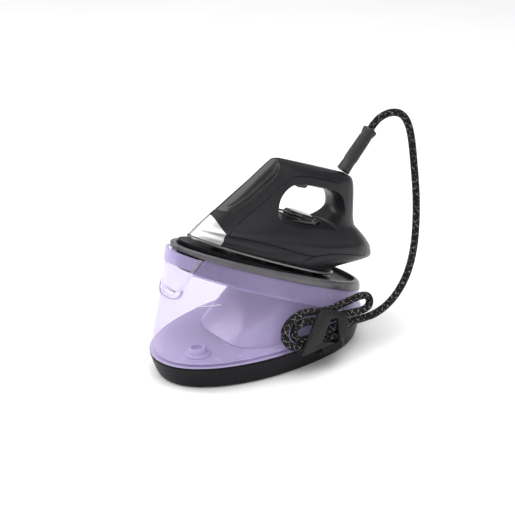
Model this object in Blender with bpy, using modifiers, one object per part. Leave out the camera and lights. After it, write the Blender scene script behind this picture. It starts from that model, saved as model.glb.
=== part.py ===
"""Steam generator iron: a compact base with a wrap-round water tank, and an iron parked on its slanted rest.

Metres, +Z up. The nose of the base and of the iron points to -Y, and the cord clip is on +X.
The origin is the centre of the base's flat underside.
"""

import math

import bmesh
import bpy
from mathutils import Matrix, Vector

# Driving dimensions of the base and the tank.
GAP = 0.0003
ALONG_X = (0, math.pi / 2, 0)
SIDES = 48
BASE = dict(front=0.177, rear=0.135, half_width=0.090, centre=0.0, nose=2.084, tail=2.343)
REST = dict(front=0.177, rear=0.110, half_width=0.066, centre=0.031, nose=2.052, tail=2.344)
SEAM_Z = 0.0315
FLANGE_Z = 0.0365
TANK_WALL = 0.0025
TANK_FLOOR_Z = 0.0345
FLOOR_SCALE = 0.945
PLINTH_SCALE = 0.52
FOOT_HEIGHT = 0.0013
REST_Z = 0.111
REST_SLOPE = 0.454
RING_FRONT_HEIGHT = 0.0070
RING_REAR_HEIGHT = 0.0120
RING_WIDTH = 0.0075
SKIRT_DROP = 0.026
SOLE_Z = 0.1252
SOLE_SLOPE = 0.477
PAD_HEIGHT = 0.0045

# The boiler housing's nose, side and tail at five heights, from the floor to the rest.
HOUSING = dict(front=0.095, rear=0.102, half_width=0.066, centre=0.010, nose=3.4, tail=2.3)
HOUSING_NOSE_Y = (-0.085, -0.058, -0.034, -0.020, -0.012)
HOUSING_HALF_WIDTH = (0.066, 0.061, 0.0565, 0.0515, 0.050)
HOUSING_TAIL_Y = (0.112, 0.109, 0.106, 0.102, 0.098)
HOUSING_WALL = 0.0025

# The filler flap: how far up the tank wall each row lies, and half its width there.
FLAP_ROWS = (0.625, 0.640, 0.665, 0.70, 0.80, 0.90, 0.985)
FLAP_HALF_WIDTHS = (0.0100, 0.0165, 0.0200, 0.0225, 0.0262, 0.0290, 0.0312)
FLAP_LIP = 0.0045
FLAP_THICKNESS = 0.0020
FLAP_CLEARANCE = 0.0008
# How much further than the flap its opening reaches, as shares of the tank wall's height.
FLAP_FOOT_CLEARANCE = 0.033
FLAP_TOP_CLEARANCE = 0.20
FLAP_AXIS = (0.0, -0.1555, 0.1260)
HINGE_EAR_X = 0.0060
# The hinge ear's outline as (y, z), from its foot on the tank wall's inner side.
HINGE_EAR = ((-0.1612, 0.1130), (-0.1600, 0.1190), (-0.1573, 0.1200), (-0.1573, 0.1278),
             (-0.1532, 0.1278), (-0.1532, 0.1130))

# Fittings of the base: the tank's outlet, the boiler, the switch and the mains cable's gland.
OUTLET = (0.020, -0.129)
BOILER_XY = (0.0, 0.036, 0.0)
SWITCH_AXIS = (0.0, 0.1215, 0.0160)
ROCKER_RADIUS = 0.0110
ROCKER_TILT = math.radians(6)
MAINS_GLAND = (-0.0655, 0.1032, 0.0160)
MAINS_GLAND_TURN = (0, math.pi / 2, math.radians(128))

# The iron, in its own frame: y back along the sole from the nose, z up from the nose.
NOSE = (0.0, -0.1248, 0.1867)
IRON_TILT = math.radians(24.425)
SOLE_RAKE = -0.020
HEEL_START_Y = 0.245
HEEL_DROP = 27.0
# Each shell level: height at the nose, rise per metre, front y, rear y, half width, nose and tail power.
SHELL_LEVELS = (
    (0.0035, -0.020, 0.0030, 0.2385, 0.0495, 1.75, 2.6),
    (0.0080, 0.000, 0.0056, 0.2475, 0.0520, 1.75, 2.6),
    (0.0110, 0.060, 0.0080, 0.3070, 0.0535, 1.75, 1.95),
    (0.0130, 0.110, 0.0092, 0.3060, 0.0530, 1.75, 1.85),
    (0.0165, 0.125, 0.0118, 0.2990, 0.0440, 1.80, 1.80),
    (0.0230, 0.130, 0.0165, 0.2800, 0.0365, 1.85, 1.85),
    (0.0420, 0.075, 0.0320, 0.2675, 0.0305, 1.90, 2.05),
    (0.0620, 0.040, 0.0470, 0.2590, 0.0262, 1.95, 2.2),
    (0.0840, 0.020, 0.0640, 0.2515, 0.0225, 2.00, 2.3),
    (0.1010, 0.020, 0.0768, 0.2440, 0.0208, 2.00, 2.3),
    (0.1120, 0.020, 0.0850, 0.2380, 0.0185, 2.00, 2.3),
    (0.1175, 0.022, 0.0900, 0.2315, 0.0140, 2.00, 2.4),
    (0.1195, 0.022, 0.0960, 0.2220, 0.0080, 2.00, 2.2),
)
GRIP = ((0.113, 0.066), (0.117, 0.084), (0.134, 0.0965), (0.190, 0.0985), (0.212, 0.092),
        (0.222, 0.076), (0.213, 0.060), (0.204, 0.0545), (0.128, 0.0545))
NOSE_TRIM = ((-0.030, -0.020), (-0.030, 0.060), (0.0225, 0.033), (0.0370, 0.0175), (0.0245, -0.020))
FRONT_PANEL = ((0.010, 0.046), (0.037, 0.0465), (0.050, 0.052), (0.062, 0.064), (0.076, 0.087),
               (0.089, 0.112), (0.093, 0.140), (0.020, 0.140))
HEEL_COVER = ((0.272, -0.030), (0.266, 0.060), (0.360, 0.060), (0.360, -0.030))
SOLE = dict(front=0.165, rear=0.0740, half_width=0.0520, centre=0.165, nose=1.72, tail=2.6)
CAVITY = dict(front=0.115, rear=0.070, half_width=0.040, centre=0.165, nose=1.8, tail=2.6)
UPPER_CAVITY = dict(front=0.070, rear=0.065, half_width=0.026, centre=0.165, nose=2.0, tail=2.6)
TRIGGER_PIVOT = (0.121, 0.1000)
TRIGGER_END_Y = 0.160
DIAL_CENTRE = (0.166, 0.0548)
DIAL_RADIUS = 0.0200
BOOT_FOOT = (0.2168, 0.1262)
BOOT_TIP = (0.2405, 0.1890)

# The steam cord: route points in millimetres, from the boot's tip to the gland in the base.
CORD_DIAMETER = 0.0100
CORD_POINTS = 80
CORD_ROUTE = (
    (0, 172.6, 260.2), (1, 178, 267), (4, 187, 275), (10, 198.5, 280), (17, 209.5, 278), (23, 216.5, 267),
    (29, 219.5, 246), (38, 218.5, 208), (48, 215, 168), (58, 207, 129), (66, 196, 98), (74, 179, 74),
    (81.5, 156, 57), (87, 132, 47.5), (90, 108, 43.2), (90, 88, 43), (89.7, 68, 44.8), (90.2, 52, 46.8),
    (91.3, 30, 46.6), (92.7, 10, 46.6), (93.1, -6, 46.2), (92.6, -17, 46.4), (91.6, -25.5, 49.6),
    (90.1, -29.2, 56.6), (88.5, -26, 63.6), (87.8, -17.5, 67), (87.7, -3, 66.2), (88.4, 14, 62),
    (88.2, 28, 59), (87.2, 40, 58), (86.8, 53, 57.8), (88, 68, 56.4), (89.2, 83, 55), (88.7, 92.5, 55.3),
    (87.8, 98.5, 57.8), (86.4, 101, 63.7), (84.9, 98.5, 69.6), (83.4, 92.5, 72.1), (82.3, 82, 72.2),
    (81.5, 68, 70.5), (81.0, 52, 69), (82.7, 40, 69), (84.4, 20, 72.2), (84.3, 3, 77), (84.3, -14, 78.6),
    (85.4, -31, 74.5), (87.3, -41.8, 64.5), (90.2, -41.8, 51), (93.2, -31, 40.8), (95.3, -14, 36.4),
    (95.4, 8, 36.0), (94.4, 24, 35.6), (93.6, 36.9, 35.6),
)

# The cord clip's outer face leans in as it rises. Points are (y, z) on that face.
CLIP_LEAN = 0.29
CLIP_FOOT_X = 0.1064
CLIP_FOOT_Z = 0.0365
CLIP_THICKNESS = 0.0040
CLIP_OUTLINE = ((-0.0300, 0.0325), (-0.0283, 0.0362), (0.0062, 0.0740), (0.0130, 0.0785), (0.0290, 0.0750),
                (0.0465, 0.0675), (0.0520, 0.0590), (0.0512, 0.0490), (0.0472, 0.0405), (0.0390, 0.0345),
                (0.0350, 0.0255), (0.0030, 0.0255), (-0.0010, 0.0325))
CLIP_FOOT = ((0.0902, 0.0010, 0.0235), (0.1050, 0.0365, 0.0300))
CLIP_PEG_Y = (0.0080, 0.0290)
PEG_RADIUS = 0.0040
PEG_Z = 0.0250
GLAND_Y = 0.0372
CLIP_WINDOW = ((0.0252, 0.0660), (0.0368, 0.0632), (0.0338, 0.0350), (0.0290, 0.0335), (0.0052, 0.0412))

MATERIALS = {
    "base_black": ((0.020, 0.020, 0.024), 0.45, 0.0),
    "dark_grey": ((0.075, 0.075, 0.080), 0.32, 0.0),
    "charcoal": ((0.070, 0.070, 0.078), 0.35, 0.0),
    "gloss_black": ((0.020, 0.020, 0.024), 0.10, 0.0),
    "lilac": ((0.45, 0.36, 0.68), 0.12, 0.0),
    "brushed_silver": ((0.72, 0.72, 0.72), 0.28, 1.0),
    "cast_aluminium": ((0.50, 0.50, 0.51), 0.50, 1.0),
    "steel": ((0.60, 0.60, 0.62), 0.30, 1.0),
    "rubber": ((0.025, 0.025, 0.027), 0.75, 0.0),
    "white_plastic": ((0.80, 0.80, 0.78), 0.45, 0.0),
    "silicone": ((0.85, 0.80, 0.72), 0.50, 0.0),
    "braid": ((0.03, 0.03, 0.03), 0.85, 0.0),
    "copper": ((0.80, 0.45, 0.30), 0.30, 1.0),
    "board_green": ((0.05, 0.25, 0.12), 0.50, 0.0),
}


def clear_scene():
    for item in list(bpy.data.objects):
        bpy.data.objects.remove(item, do_unlink=True)


def new_collection(name):
    collection = bpy.data.collections.new(name)
    bpy.context.scene.collection.children.link(collection)
    return collection


clear_scene()
PARTS = new_collection("steam_generator_iron")
CUTTERS = new_collection("cutters")


def make_material(name):
    colour, roughness, metallic = MATERIALS[name]
    material = bpy.data.materials.new(name)
    material.use_nodes = True
    shader = material.node_tree.nodes["Principled BSDF"]
    shader.inputs["Base Color"].default_value = (*colour, 1.0)
    shader.inputs["Roughness"].default_value = roughness
    shader.inputs["Metallic"].default_value = metallic
    if name == "lilac":
        shader.inputs["Alpha"].default_value = 0.45
    return material


FINISH = {name: make_material(name) for name in MATERIALS}


# Shared shapes.

def rest_plane(y):
    """Height of the rest ring's lower edge."""
    return REST_Z - REST_SLOPE * y


def ring_top(y):
    """Height of the rest ring's upper edge, which is taller towards the rear."""
    share = (y + 0.146) / 0.287
    return rest_plane(y) + RING_FRONT_HEIGHT + (RING_REAR_HEIGHT - RING_FRONT_HEIGHT) * share


def skirt_foot(y):
    """Height of the lower edge of the skirt under the rest, which is shallow where the tank is low."""
    drop = min(SKIRT_DROP, max(0.0035, 0.55 * (rest_plane(y) - SEAM_Z) - 0.006))
    return rest_plane(y) - drop


def sole_plane(y):
    """Height of the parked soleplate's underside."""
    return SOLE_Z - SOLE_SLOPE * y


def scaled(shape, factor):
    result = dict(shape)
    for key in ("front", "rear", "half_width"):
        result[key] = shape[key] * factor
    return result


def mixed(first, second, share):
    return {key: first[key] * (1 - share) + second[key] * share for key in first}


def wall_shape(share):
    """The tank's outline at this share of the way from the seam to the rest."""
    return mixed(BASE, REST, share ** 1.35)


def outline(shape, inset=0.0, count=SIDES):
    """Points round a superellipse with its own power at the nose and at the tail."""
    points = []
    for step in range(count):
        turn = math.tau * step / count
        across, along = math.cos(turn), math.sin(turn)
        reach, power = (shape["front"], shape["nose"]) if along < 0 else (shape["rear"], shape["tail"])
        x = (shape["half_width"] - inset) * math.copysign(abs(across) ** (2 / power), across)
        y = shape["centre"] + (reach - inset) * math.copysign(abs(along) ** (2 / power), along)
        points.append((x, y))
    return points


def level(points, height):
    """The outline's points raised to a height, which is a number or a function of y."""
    if callable(height):
        return [(x, y, height(y)) for x, y in points]
    return [(x, y, height) for x, y in points]


def front_y(shape, x):
    """Where the nose side of an outline lies at this x."""
    power = shape["nose"]
    return shape["centre"] - shape["front"] * (1 - abs(x / shape["half_width"]) ** power) ** (1 / power)


def tank_height(share):
    return lambda y: SEAM_Z + share * (rest_plane(y) - GAP - SEAM_Z)


# Object builders.

def finish(item, material, sharp=35, parent=None):
    """Puts a piece in the parts collection with its finish and smooth shading."""
    if item.name not in PARTS.objects:
        for collection in list(item.users_collection):
            collection.objects.unlink(item)
        PARTS.objects.link(item)
    item.data.materials.clear()
    item.data.materials.append(FINISH[material])
    if item.type == "MESH":
        item.data.shade_smooth()
        item.data.set_sharp_from_angle(angle=math.radians(sharp))
    item.parent = parent
    for step in item.modifiers:
        if step.type == "BOOLEAN":
            step.object.parent = parent
    return item


def helper(item):
    """Makes an object a cutter, which is not part of the model."""
    for collection in list(item.users_collection):
        collection.objects.unlink(item)
    CUTTERS.objects.link(item)
    item.hide_render = True
    item.display_type = "WIRE"
    return item


def mesh_object(name, points, faces):
    mesh = bpy.data.meshes.new(name)
    mesh.from_pydata([tuple(point) for point in points], [], faces)
    build = bmesh.new()
    build.from_mesh(mesh)
    bmesh.ops.recalc_face_normals(build, faces=build.faces)
    build.to_mesh(mesh)
    build.free()
    item = bpy.data.objects.new(name, mesh)
    PARTS.objects.link(item)
    return item


def loft(name, rings, closed_loop=False):
    """A solid through rings of equally many points, capped at both ends or joined end to start."""
    count = len(rings[0])
    last = len(rings)
    spans = [(row, row + 1) for row in range(last - 1)]
    if closed_loop:
        spans.append((last - 1, 0))
    faces = []
    for low, high in spans:
        for i in range(count):
            j = (i + 1) % count
            faces.append((low * count + i, low * count + j, high * count + j, high * count + i))
    if not closed_loop:
        faces.append(tuple(range(count)))
        faces.append(tuple(range((last - 1) * count, last * count)))
    return mesh_object(name, [point for ring in rings for point in ring], faces)


def placed(item, location, turn=(0, 0, 0)):
    item.location = location
    item.rotation_euler = turn
    return item


def box(name, low, high, bevel=0.0):
    """A box between two corners, with its origin in its middle."""
    size = [b - a for a, b in zip(low, high)]
    middle = [(a + b) / 2 for a, b in zip(low, high)]
    bpy.ops.mesh.primitive_cube_add(size=1, location=middle)
    item = bpy.context.object
    item.name = name
    item.data.transform(Matrix.Diagonal((*size, 1)))
    if bevel:
        edge = item.modifiers.new("edges", "BEVEL")
        edge.width = bevel
        edge.segments = 2
    return item


def cylinder(name, radius, length, location, turn=(0, 0, 0), sides=24, bevel=0.0):
    bpy.ops.mesh.primitive_cylinder_add(
        vertices=sides, radius=radius, depth=length, location=location, rotation=turn)
    item = bpy.context.object
    item.name = name
    if bevel:
        edge = item.modifiers.new("edges", "BEVEL")
        edge.width = bevel
        edge.segments = 2
        edge.limit_method = "ANGLE"
    return item


def turned(name, profile, location=(0, 0, 0), turn=(0, 0, 0), steps=28):
    """A turned piece: the profile's (radius, height) points run from the top axis down the outer side."""
    mesh = bpy.data.meshes.new(name)
    mesh.from_pydata([(r, 0, z) for r, z in profile], [(i, i + 1) for i in range(len(profile) - 1)], [])
    item = bpy.data.objects.new(name, mesh)
    PARTS.objects.link(item)
    screw = item.modifiers.new("turn", "SCREW")
    screw.steps = steps
    screw.render_steps = steps
    screw.use_merge_vertices = True
    screw.merge_threshold = 0.00001
    screw.use_smooth_shade = True
    return placed(item, location, turn)


def tube(name, points, radius, resolution=2):
    """A round rod along a list of points."""
    curve = bpy.data.curves.new(name, "CURVE")
    curve.dimensions = "3D"
    curve.bevel_depth = radius
    curve.bevel_resolution = resolution
    curve.use_fill_caps = True
    spline = curve.splines.new("POLY")
    spline.points.add(len(points) - 1)
    for knot, point in zip(spline.points, points):
        knot.co = (*point, 1)
    item = bpy.data.objects.new(name, curve)
    PARTS.objects.link(item)
    return item


def slab(name, points, thickness):
    """A flat outline in the YZ plane, thick along X and centred on x = 0."""
    curve = bpy.data.curves.new(name, "CURVE")
    curve.dimensions = "2D"
    curve.fill_mode = "BOTH"
    curve.extrude = thickness / 2
    spline = curve.splines.new("POLY")
    spline.points.add(len(points) - 1)
    for knot, (y, z) in zip(spline.points, points):
        knot.co = (y, z, 0, 1)
    spline.use_cyclic_u = True
    item = bpy.data.objects.new(name, curve)
    PARTS.objects.link(item)
    item.matrix_world = Matrix(((0, 0, 1, 0), (1, 0, 0, 0), (0, 1, 0, 0), (0, 0, 0, 1)))
    return as_mesh(item)


def as_mesh(item):
    """A mesh object in a curve's place, its caps welded."""
    bpy.context.view_layer.update()
    mesh = bpy.data.meshes.new_from_object(item.evaluated_get(bpy.context.evaluated_depsgraph_get()))
    build = bmesh.new()
    build.from_mesh(mesh)
    bmesh.ops.remove_doubles(build, verts=build.verts, dist=0.000001)
    bmesh.ops.recalc_face_normals(build, faces=build.faces)
    build.to_mesh(mesh)
    build.free()
    mesh.transform(item.matrix_world)
    name = item.name
    bpy.data.objects.remove(item, do_unlink=True)
    result = bpy.data.objects.new(name, mesh)
    PARTS.objects.link(result)
    return result


def boolean(item, other, operation="DIFFERENCE"):
    """Cuts or joins another object, which becomes a helper."""
    step = item.modifiers.new(other.name, "BOOLEAN")
    step.operation = operation
    step.solver = "EXACT"
    step.object = helper(other)
    return item


def smooth_points(route, count):
    """Evenly spaced points on a Catmull-Rom curve through the route's points."""
    points = [Vector(point) for point in route]
    ends = [2 * points[0] - points[1], *points, 2 * points[-1] - points[-2]]
    fine = []
    for a, b, c, d in zip(ends, ends[1:], ends[2:], ends[3:]):
        for step in range(24):
            t = step / 24
            fine.append(0.5 * (2 * b + (c - a) * t + (2 * a - 5 * b + 4 * c - d) * t * t
                               + (3 * b - a - 3 * c + d) * t ** 3))
    fine.append(points[-1])
    travelled = [0.0]
    for a, b in zip(fine, fine[1:]):
        travelled.append(travelled[-1] + (b - a).length)
    result = []
    at = 0
    for step in range(count):
        target = travelled[-1] * step / (count - 1)
        while at < len(fine) - 2 and travelled[at + 1] < target:
            at += 1
        share = (target - travelled[at]) / (travelled[at + 1] - travelled[at])
        result.append(fine[at].lerp(fine[at + 1], share))
    return result


# The base.

def make_base():
    rings = [
        level(outline(scaled(BASE, PLINTH_SCALE)), 0.0),
        level(outline(scaled(BASE, PLINTH_SCALE)), FOOT_HEIGHT),
        level(outline(scaled(BASE, FLOOR_SCALE - 0.015)), FOOT_HEIGHT),
        level(outline(scaled(BASE, FLOOR_SCALE)), FOOT_HEIGHT + 0.0018),
        level(outline(BASE), SEAM_Z - GAP),
        level(outline(BASE, inset=0.0030), SEAM_Z - GAP),
        level(outline(scaled(BASE, FLOOR_SCALE - 0.03)), 0.0040),
    ]
    tray = loft("base_tray", rings)
    boolean(tray, box("switch_pocket", (-0.0130, 0.115, 0.0070), (0.0130, 0.150, 0.0250)))
    for name, y in (("front", CLIP_PEG_Y[0]), ("rear", CLIP_PEG_Y[1]), ("gland", GLAND_Y + 0.0054)):
        hole = cylinder(f"peg_hole_{name}", PEG_RADIUS + GAP, 0.030, (0.086, y, PEG_Z), ALONG_X, sides=16)
        boolean(tray, hole)
    boolean(tray, cylinder("mains_hole", 0.0055, 0.030, MAINS_GLAND, MAINS_GLAND_TURN, sides=20))
    finish(tray, "base_black")
    for name, x, y in (("front_left", 0.045, -0.115), ("front_right", -0.045, -0.115),
                       ("rear_left", 0.050, 0.080), ("rear_right", -0.050, 0.080)):
        foot = cylinder(f"foot_{name}", 0.0090, FOOT_HEIGHT - GAP, (x, y, (FOOT_HEIGHT - GAP) / 2), sides=20)
        finish(foot, "rubber")


def make_tank():
    skin = 0.0012
    outer = [(share, skin) for share in (0.07, 0.25, 0.45, 0.65, 0.82, 1.0)]
    rings = [
        level(outline(BASE, inset=0.0010), SEAM_Z),
        level(outline(BASE), SEAM_Z + 0.0010),
        level(outline(BASE), FLANGE_Z),
    ]
    rings += [level(outline(wall_shape(share), inset), tank_height(share)) for share, inset in outer]
    rings += [level(outline(wall_shape(share), inset + TANK_WALL), tank_height(share))
              for share, inset in outer[::-1]]
    rings += [level(outline(BASE, inset=0.0060), TANK_FLOOR_Z)]
    tank = loft("water_tank", rings)
    boolean(tank, flap_patch("flap_opening", FLAP_CLEARANCE, -0.020, 0.040))
    for side in (-1, 1):
        ear = slab(f"hinge_ear_{side}", HINGE_EAR, 0.0040)
        boolean(tank, placed(ear, (side * HINGE_EAR_X, 0, 0)), "UNION")
    hole = loft("housing_hole", [level(outline(housing_shape(0), -0.0005), z) for z in (0.020, 0.045)])
    boolean(tank, hole)
    boolean(tank, cylinder("outlet_hole", 0.0080, 0.020, (OUTLET[0], OUTLET[1], SEAM_Z)))
    boolean(tank, cylinder("ear_hole", 0.0012, 0.0180, FLAP_AXIS, ALONG_X, sides=12))
    finish(tank, "lilac")
    valve = turned("tank_outlet_valve", [
        (0.0, TANK_FLOOR_Z + 0.0085), (0.0100, TANK_FLOOR_Z + 0.0085), (0.0120, TANK_FLOOR_Z + 0.0065),
        (0.0120, TANK_FLOOR_Z + 0.0020), (0.0175, TANK_FLOOR_Z + 0.0015), (0.0175, TANK_FLOOR_Z + GAP),
        (0.0076, TANK_FLOOR_Z + GAP), (0.0076, SEAM_Z - 0.0080), (0.0, SEAM_Z - 0.0080)],
        (OUTLET[0], OUTLET[1], 0), steps=24)
    finish(valve, "white_plastic")


def flap_patch(name, grow, outward, inward):
    """A closed slice of the tank's nose, shaped like the flap, between two depths from the wall."""
    columns = [step / 4 - 1 for step in range(9)]
    points = []
    for depth in (outward, inward):
        for row, (share, half) in enumerate(zip(FLAP_ROWS, FLAP_HALF_WIDTHS)):
            if grow > 0 and row == 0:
                share -= FLAP_FOOT_CLEARANCE
            if grow > 0 and row == len(FLAP_ROWS) - 1:
                share += FLAP_TOP_CLEARANCE
            shape = wall_shape(min(share, 1.0))
            for column in columns:
                x = column * (half + grow)
                proud = 0.0 if grow > 0 else FLAP_LIP * max(0, (share - 0.64) / 0.345)
                y = front_y(shape, x) + depth - proud
                points.append((x, y, SEAM_Z + share * (rest_plane(y) - SEAM_Z)))
    rows, wide = len(FLAP_ROWS), len(columns)
    count = rows * wide
    faces = []
    for row in range(rows - 1):
        for column in range(wide - 1):
            a = row * wide + column
            quad = (a, a + 1, a + wide + 1, a + wide)
            faces.append(quad)
            faces.append(tuple(count + i for i in reversed(quad)))
    border = list(range(wide)) + [row * wide + wide - 1 for row in range(1, rows)]
    border += [(rows - 1) * wide + i for i in range(wide - 2, -1, -1)]
    border += [row * wide for row in range(rows - 2, 0, -1)]
    for a, b in zip(border, border[1:] + border[:1]):
        faces.append((a, b, count + b, count + a))
    return mesh_object(name, points, faces)


def make_flap():
    """The filler flap, which tips out about a pin at its foot, and the splash baffle behind it."""
    flap = flap_patch("filler_flap", 0.0, 0.0, FLAP_THICKNESS)
    for side in (-1, 1):
        low_x, high_x = sorted((side * 0.0088, side * 0.0124))
        boolean(flap, box(f"lug_{side}", (low_x, FLAP_AXIS[1] - 0.0030, FLAP_AXIS[2] - 0.0020),
                          (high_x, FLAP_AXIS[1] + 0.0022, FLAP_AXIS[2] + 0.0022)), "UNION")
    boolean(flap, cylinder("lug_hole", 0.0013, 0.060, FLAP_AXIS, ALONG_X, sides=12))
    set_origin(finish(flap, "lilac"), FLAP_AXIS)
    pin = cylinder("flap_hinge_pin", 0.0010, 0.0256, FLAP_AXIS, ALONG_X, sides=12)
    finish(pin, "steel")


def set_origin(item, origin):
    """Moves an object's origin without moving its shape."""
    item.data.transform(Matrix.Translation(-Vector(origin)))
    item.location = origin
    return item


def housing_shape(row):
    shape = dict(HOUSING)
    shape["front"] = HOUSING["centre"] - HOUSING_NOSE_Y[row]
    shape["rear"] = HOUSING_TAIL_Y[row] - HOUSING["centre"]
    shape["half_width"] = HOUSING_HALF_WIDTH[row]
    return shape


def build_housing():
    """A lilac shell over the boiler, open at its foot, which the tank wraps round."""
    foot_z = 0.0045

    def height(row, drop):
        return lambda y: FLANGE_Z + row / 4 * (rest_plane(y) - 0.0050 - FLANGE_Z) - drop

    inner = [level(outline(housing_shape(0), HOUSING_WALL), foot_z)]
    inner += [level(outline(housing_shape(row), HOUSING_WALL), height(row, 0)) for row in range(4)]
    inner += [level(outline(housing_shape(4), HOUSING_WALL), height(4, HOUSING_WALL))]
    outer = [level(outline(housing_shape(row)), height(row, 0)) for row in range(4, -1, -1)]
    outer += [level(outline(housing_shape(0)), foot_z)]
    shell = loft("boiler_housing", outer + inner)
    finish(shell, "lilac")


def make_rest():
    ring = loft("rest_ring", [
        level(outline(REST), lambda y: rest_plane(y)),
        level(outline(REST, inset=0.0006), lambda y: 0.4 * rest_plane(y) + 0.6 * ring_top(y)),
        level(outline(REST, inset=0.0030), ring_top),
        level(outline(REST, inset=RING_WIDTH), ring_top),
        level(outline(REST, inset=RING_WIDTH), lambda y: rest_plane(y)),
    ], closed_loop=True)
    finish(ring, "dark_grey")
    skirt = RING_WIDTH + GAP
    rest = loft("iron_rest", [
        level(outline(REST, inset=0.0115), lambda y: sole_plane(y) - PAD_HEIGHT),
        level(outline(REST, inset=0.0095), lambda y: ring_top(y) - 0.0025),
        level(outline(REST, inset=skirt), lambda y: ring_top(y) - 0.0030),
        level(outline(REST, inset=skirt), skirt_foot),
        level(outline(REST, inset=skirt + 0.0022), skirt_foot),
        level(outline(REST, inset=skirt + 0.0022), lambda y: rest_plane(y) - 0.0020),
    ])
    finish(rest, "base_black")
    tilt = -math.atan(SOLE_SLOPE)
    for name, x, y, wide in (("front", 0.0, -0.070, 0.016), ("rear_left", 0.026, 0.070, 0.010),
                             ("rear_right", -0.026, 0.070, 0.010)):
        pad = box(f"rest_pad_{name}", (-wide, -0.007, -0.0014), (wide, 0.007, 0.0014), bevel=0.0008)
        placed(pad, (x, y, sole_plane(y) - PAD_HEIGHT / 2 - 0.0001), (tilt, 0, 0))
        finish(pad, "silicone")


# The boiler, pump and wiring in the housing.

def make_internals():
    lower = turned("boiler_lower_shell", [
        (0.0375, 0.0385), (0.0440, 0.0385), (0.0440, 0.0370), (0.0390, 0.0370), (0.0390, 0.0200),
        (0.0330, 0.0145), (0.0, 0.0135), (0.0, 0.0150), (0.0320, 0.0160), (0.0375, 0.0210), (0.0375, 0.0385)],
        BOILER_XY, steps=32)
    finish(lower, "steel")
    upper = turned("boiler_upper_shell", [
        (0.0, 0.0610), (0.0320, 0.0595), (0.0390, 0.0530), (0.0390, 0.0405), (0.0440, 0.0405),
        (0.0440, 0.0390), (0.0375, 0.0390), (0.0375, 0.0520), (0.0310, 0.0580), (0.0, 0.0595)],
        BOILER_XY, steps=32)
    finish(upper, "steel")
    x, y, _ = BOILER_XY
    turns = [(x + 0.024 * math.cos(a), y + 0.024 * math.sin(a), 0.0100)
             for a in (math.radians(20 + 320 * i / 23) for i in range(24))]
    element = tube("heating_element", turns, 0.0028)
    finish(element, "copper")
    thermostat = cylinder("boiler_thermostat", 0.0090, 0.0080, (x, y - 0.010, 0.0655), sides=20, bevel=0.0008)
    finish(thermostat, "gloss_black")
    safety = cylinder("safety_valve", 0.0060, 0.0120, (x - 0.020, y + 0.006, 0.0672), sides=16, bevel=0.0006)
    finish(safety, "copper")
    solenoid = box("steam_solenoid_valve", (x + 0.006, y - 0.002, 0.0618), (x + 0.026, y + 0.018, 0.0740),
                   0.0012)
    finish(solenoid, "gloss_black")
    pump = cylinder("water_pump", 0.0130, 0.0520, (0.0, -0.048, 0.0215), ALONG_X, bevel=0.0015)
    finish(pump, "white_plastic")
    cradle = box("pump_cradle", (-0.020, -0.062, 0.0043), (0.020, -0.034, 0.0080), 0.0008)
    finish(cradle, "rubber")
    suction = tube("suction_hose", smooth_points([
        (OUTLET[0], OUTLET[1], 0.0228), (OUTLET[0], OUTLET[1], 0.0150), (0.026, -0.118, 0.0090),
        (0.040, -0.100, 0.0088), (0.043, -0.080, 0.0100)], 14), 0.0032)
    finish(suction, "silicone")
    delivery = tube("delivery_hose", smooth_points([
        (-0.0268, -0.048, 0.0215), (-0.036, -0.046, 0.0240), (-0.046, -0.030, 0.034),
        (-0.0495, 0.004, 0.0480), (-0.0460, 0.034, 0.0480)], 16), 0.0028)
    finish(delivery, "silicone")
    board = box("control_board", (-0.024, 0.0900, 0.0085), (0.024, 0.0916, 0.0330))
    finish(board, "board_green")


def make_switch():
    bezel = box("switch_bezel", (-0.0125, 0.1165, 0.0075), (0.0125, 0.1325, 0.0245), 0.0008)
    boolean(bezel, box("switch_window", (-0.0095, 0.1190, 0.0100), (0.0095, 0.1400, 0.0220)))
    finish(bezel, "gloss_black")
    face = [(ROCKER_RADIUS, math.radians(-24 + 6 * step) - ROCKER_TILT) for step in range(9)]
    back = [(0.0060, math.radians(turn) - ROCKER_TILT) for turn in (24, -24)]
    rocker = slab("power_rocker", [(r * math.cos(a), r * math.sin(a)) for r, a in face + back], 0.0180)
    placed(finish(rocker, "gloss_black"), SWITCH_AXIS)
    gland = turned("mains_gland", [
        (0.0, 0.0160), (0.0042, 0.0160), (0.0055, 0.0050), (0.0075, 0.0035), (0.0075, 0.0), (0.0052, 0.0),
        (0.0052, -0.0080), (0.0, -0.0080)], MAINS_GLAND, MAINS_GLAND_TURN, steps=20)
    finish(gland, "rubber")


def make_clip():
    """The hook plate that keeps the wound cord, with a window and two pegs into the base."""
    slope = math.atan(CLIP_LEAN)
    stretch = math.cos(slope)

    def leaned(name, points, thickness, middle):
        plate = slab(name, [(y, (z - CLIP_FOOT_Z) / stretch) for y, z in points], thickness)
        plate.data.transform(Matrix.Rotation(-slope, 4, "Y"))
        plate.data.transform(Matrix.Translation((CLIP_FOOT_X - middle, 0, CLIP_FOOT_Z)))
        return plate

    clip = leaned("cord_clip", CLIP_OUTLINE, CLIP_THICKNESS, CLIP_THICKNESS / 2 / stretch)
    boolean(clip, leaned("clip_window", CLIP_WINDOW, 0.030, 0.0))
    foot = box("clip_foot", *CLIP_FOOT, 0.0015)
    boolean(clip, foot, "UNION")
    for row, y in enumerate(CLIP_PEG_Y):
        peg = cylinder(f"clip_peg_{row}", PEG_RADIUS, 0.0160, (0.0862, y, PEG_Z), ALONG_X, sides=16)
        boolean(clip, peg, "UNION")
    finish(clip, "dark_grey")
    gland = box("hose_gland", (0.0885, GLAND_Y, 0.0180), (0.0988, GLAND_Y + 0.0108, 0.0408), 0.0015)
    centre = (0.0830, GLAND_Y + 0.0054, PEG_Z)
    boolean(gland, cylinder("gland_spigot", PEG_RADIUS, 0.0180, centre, ALONG_X, sides=16), "UNION")
    finish(gland, "rubber")


# The iron, built in its own frame.

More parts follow.
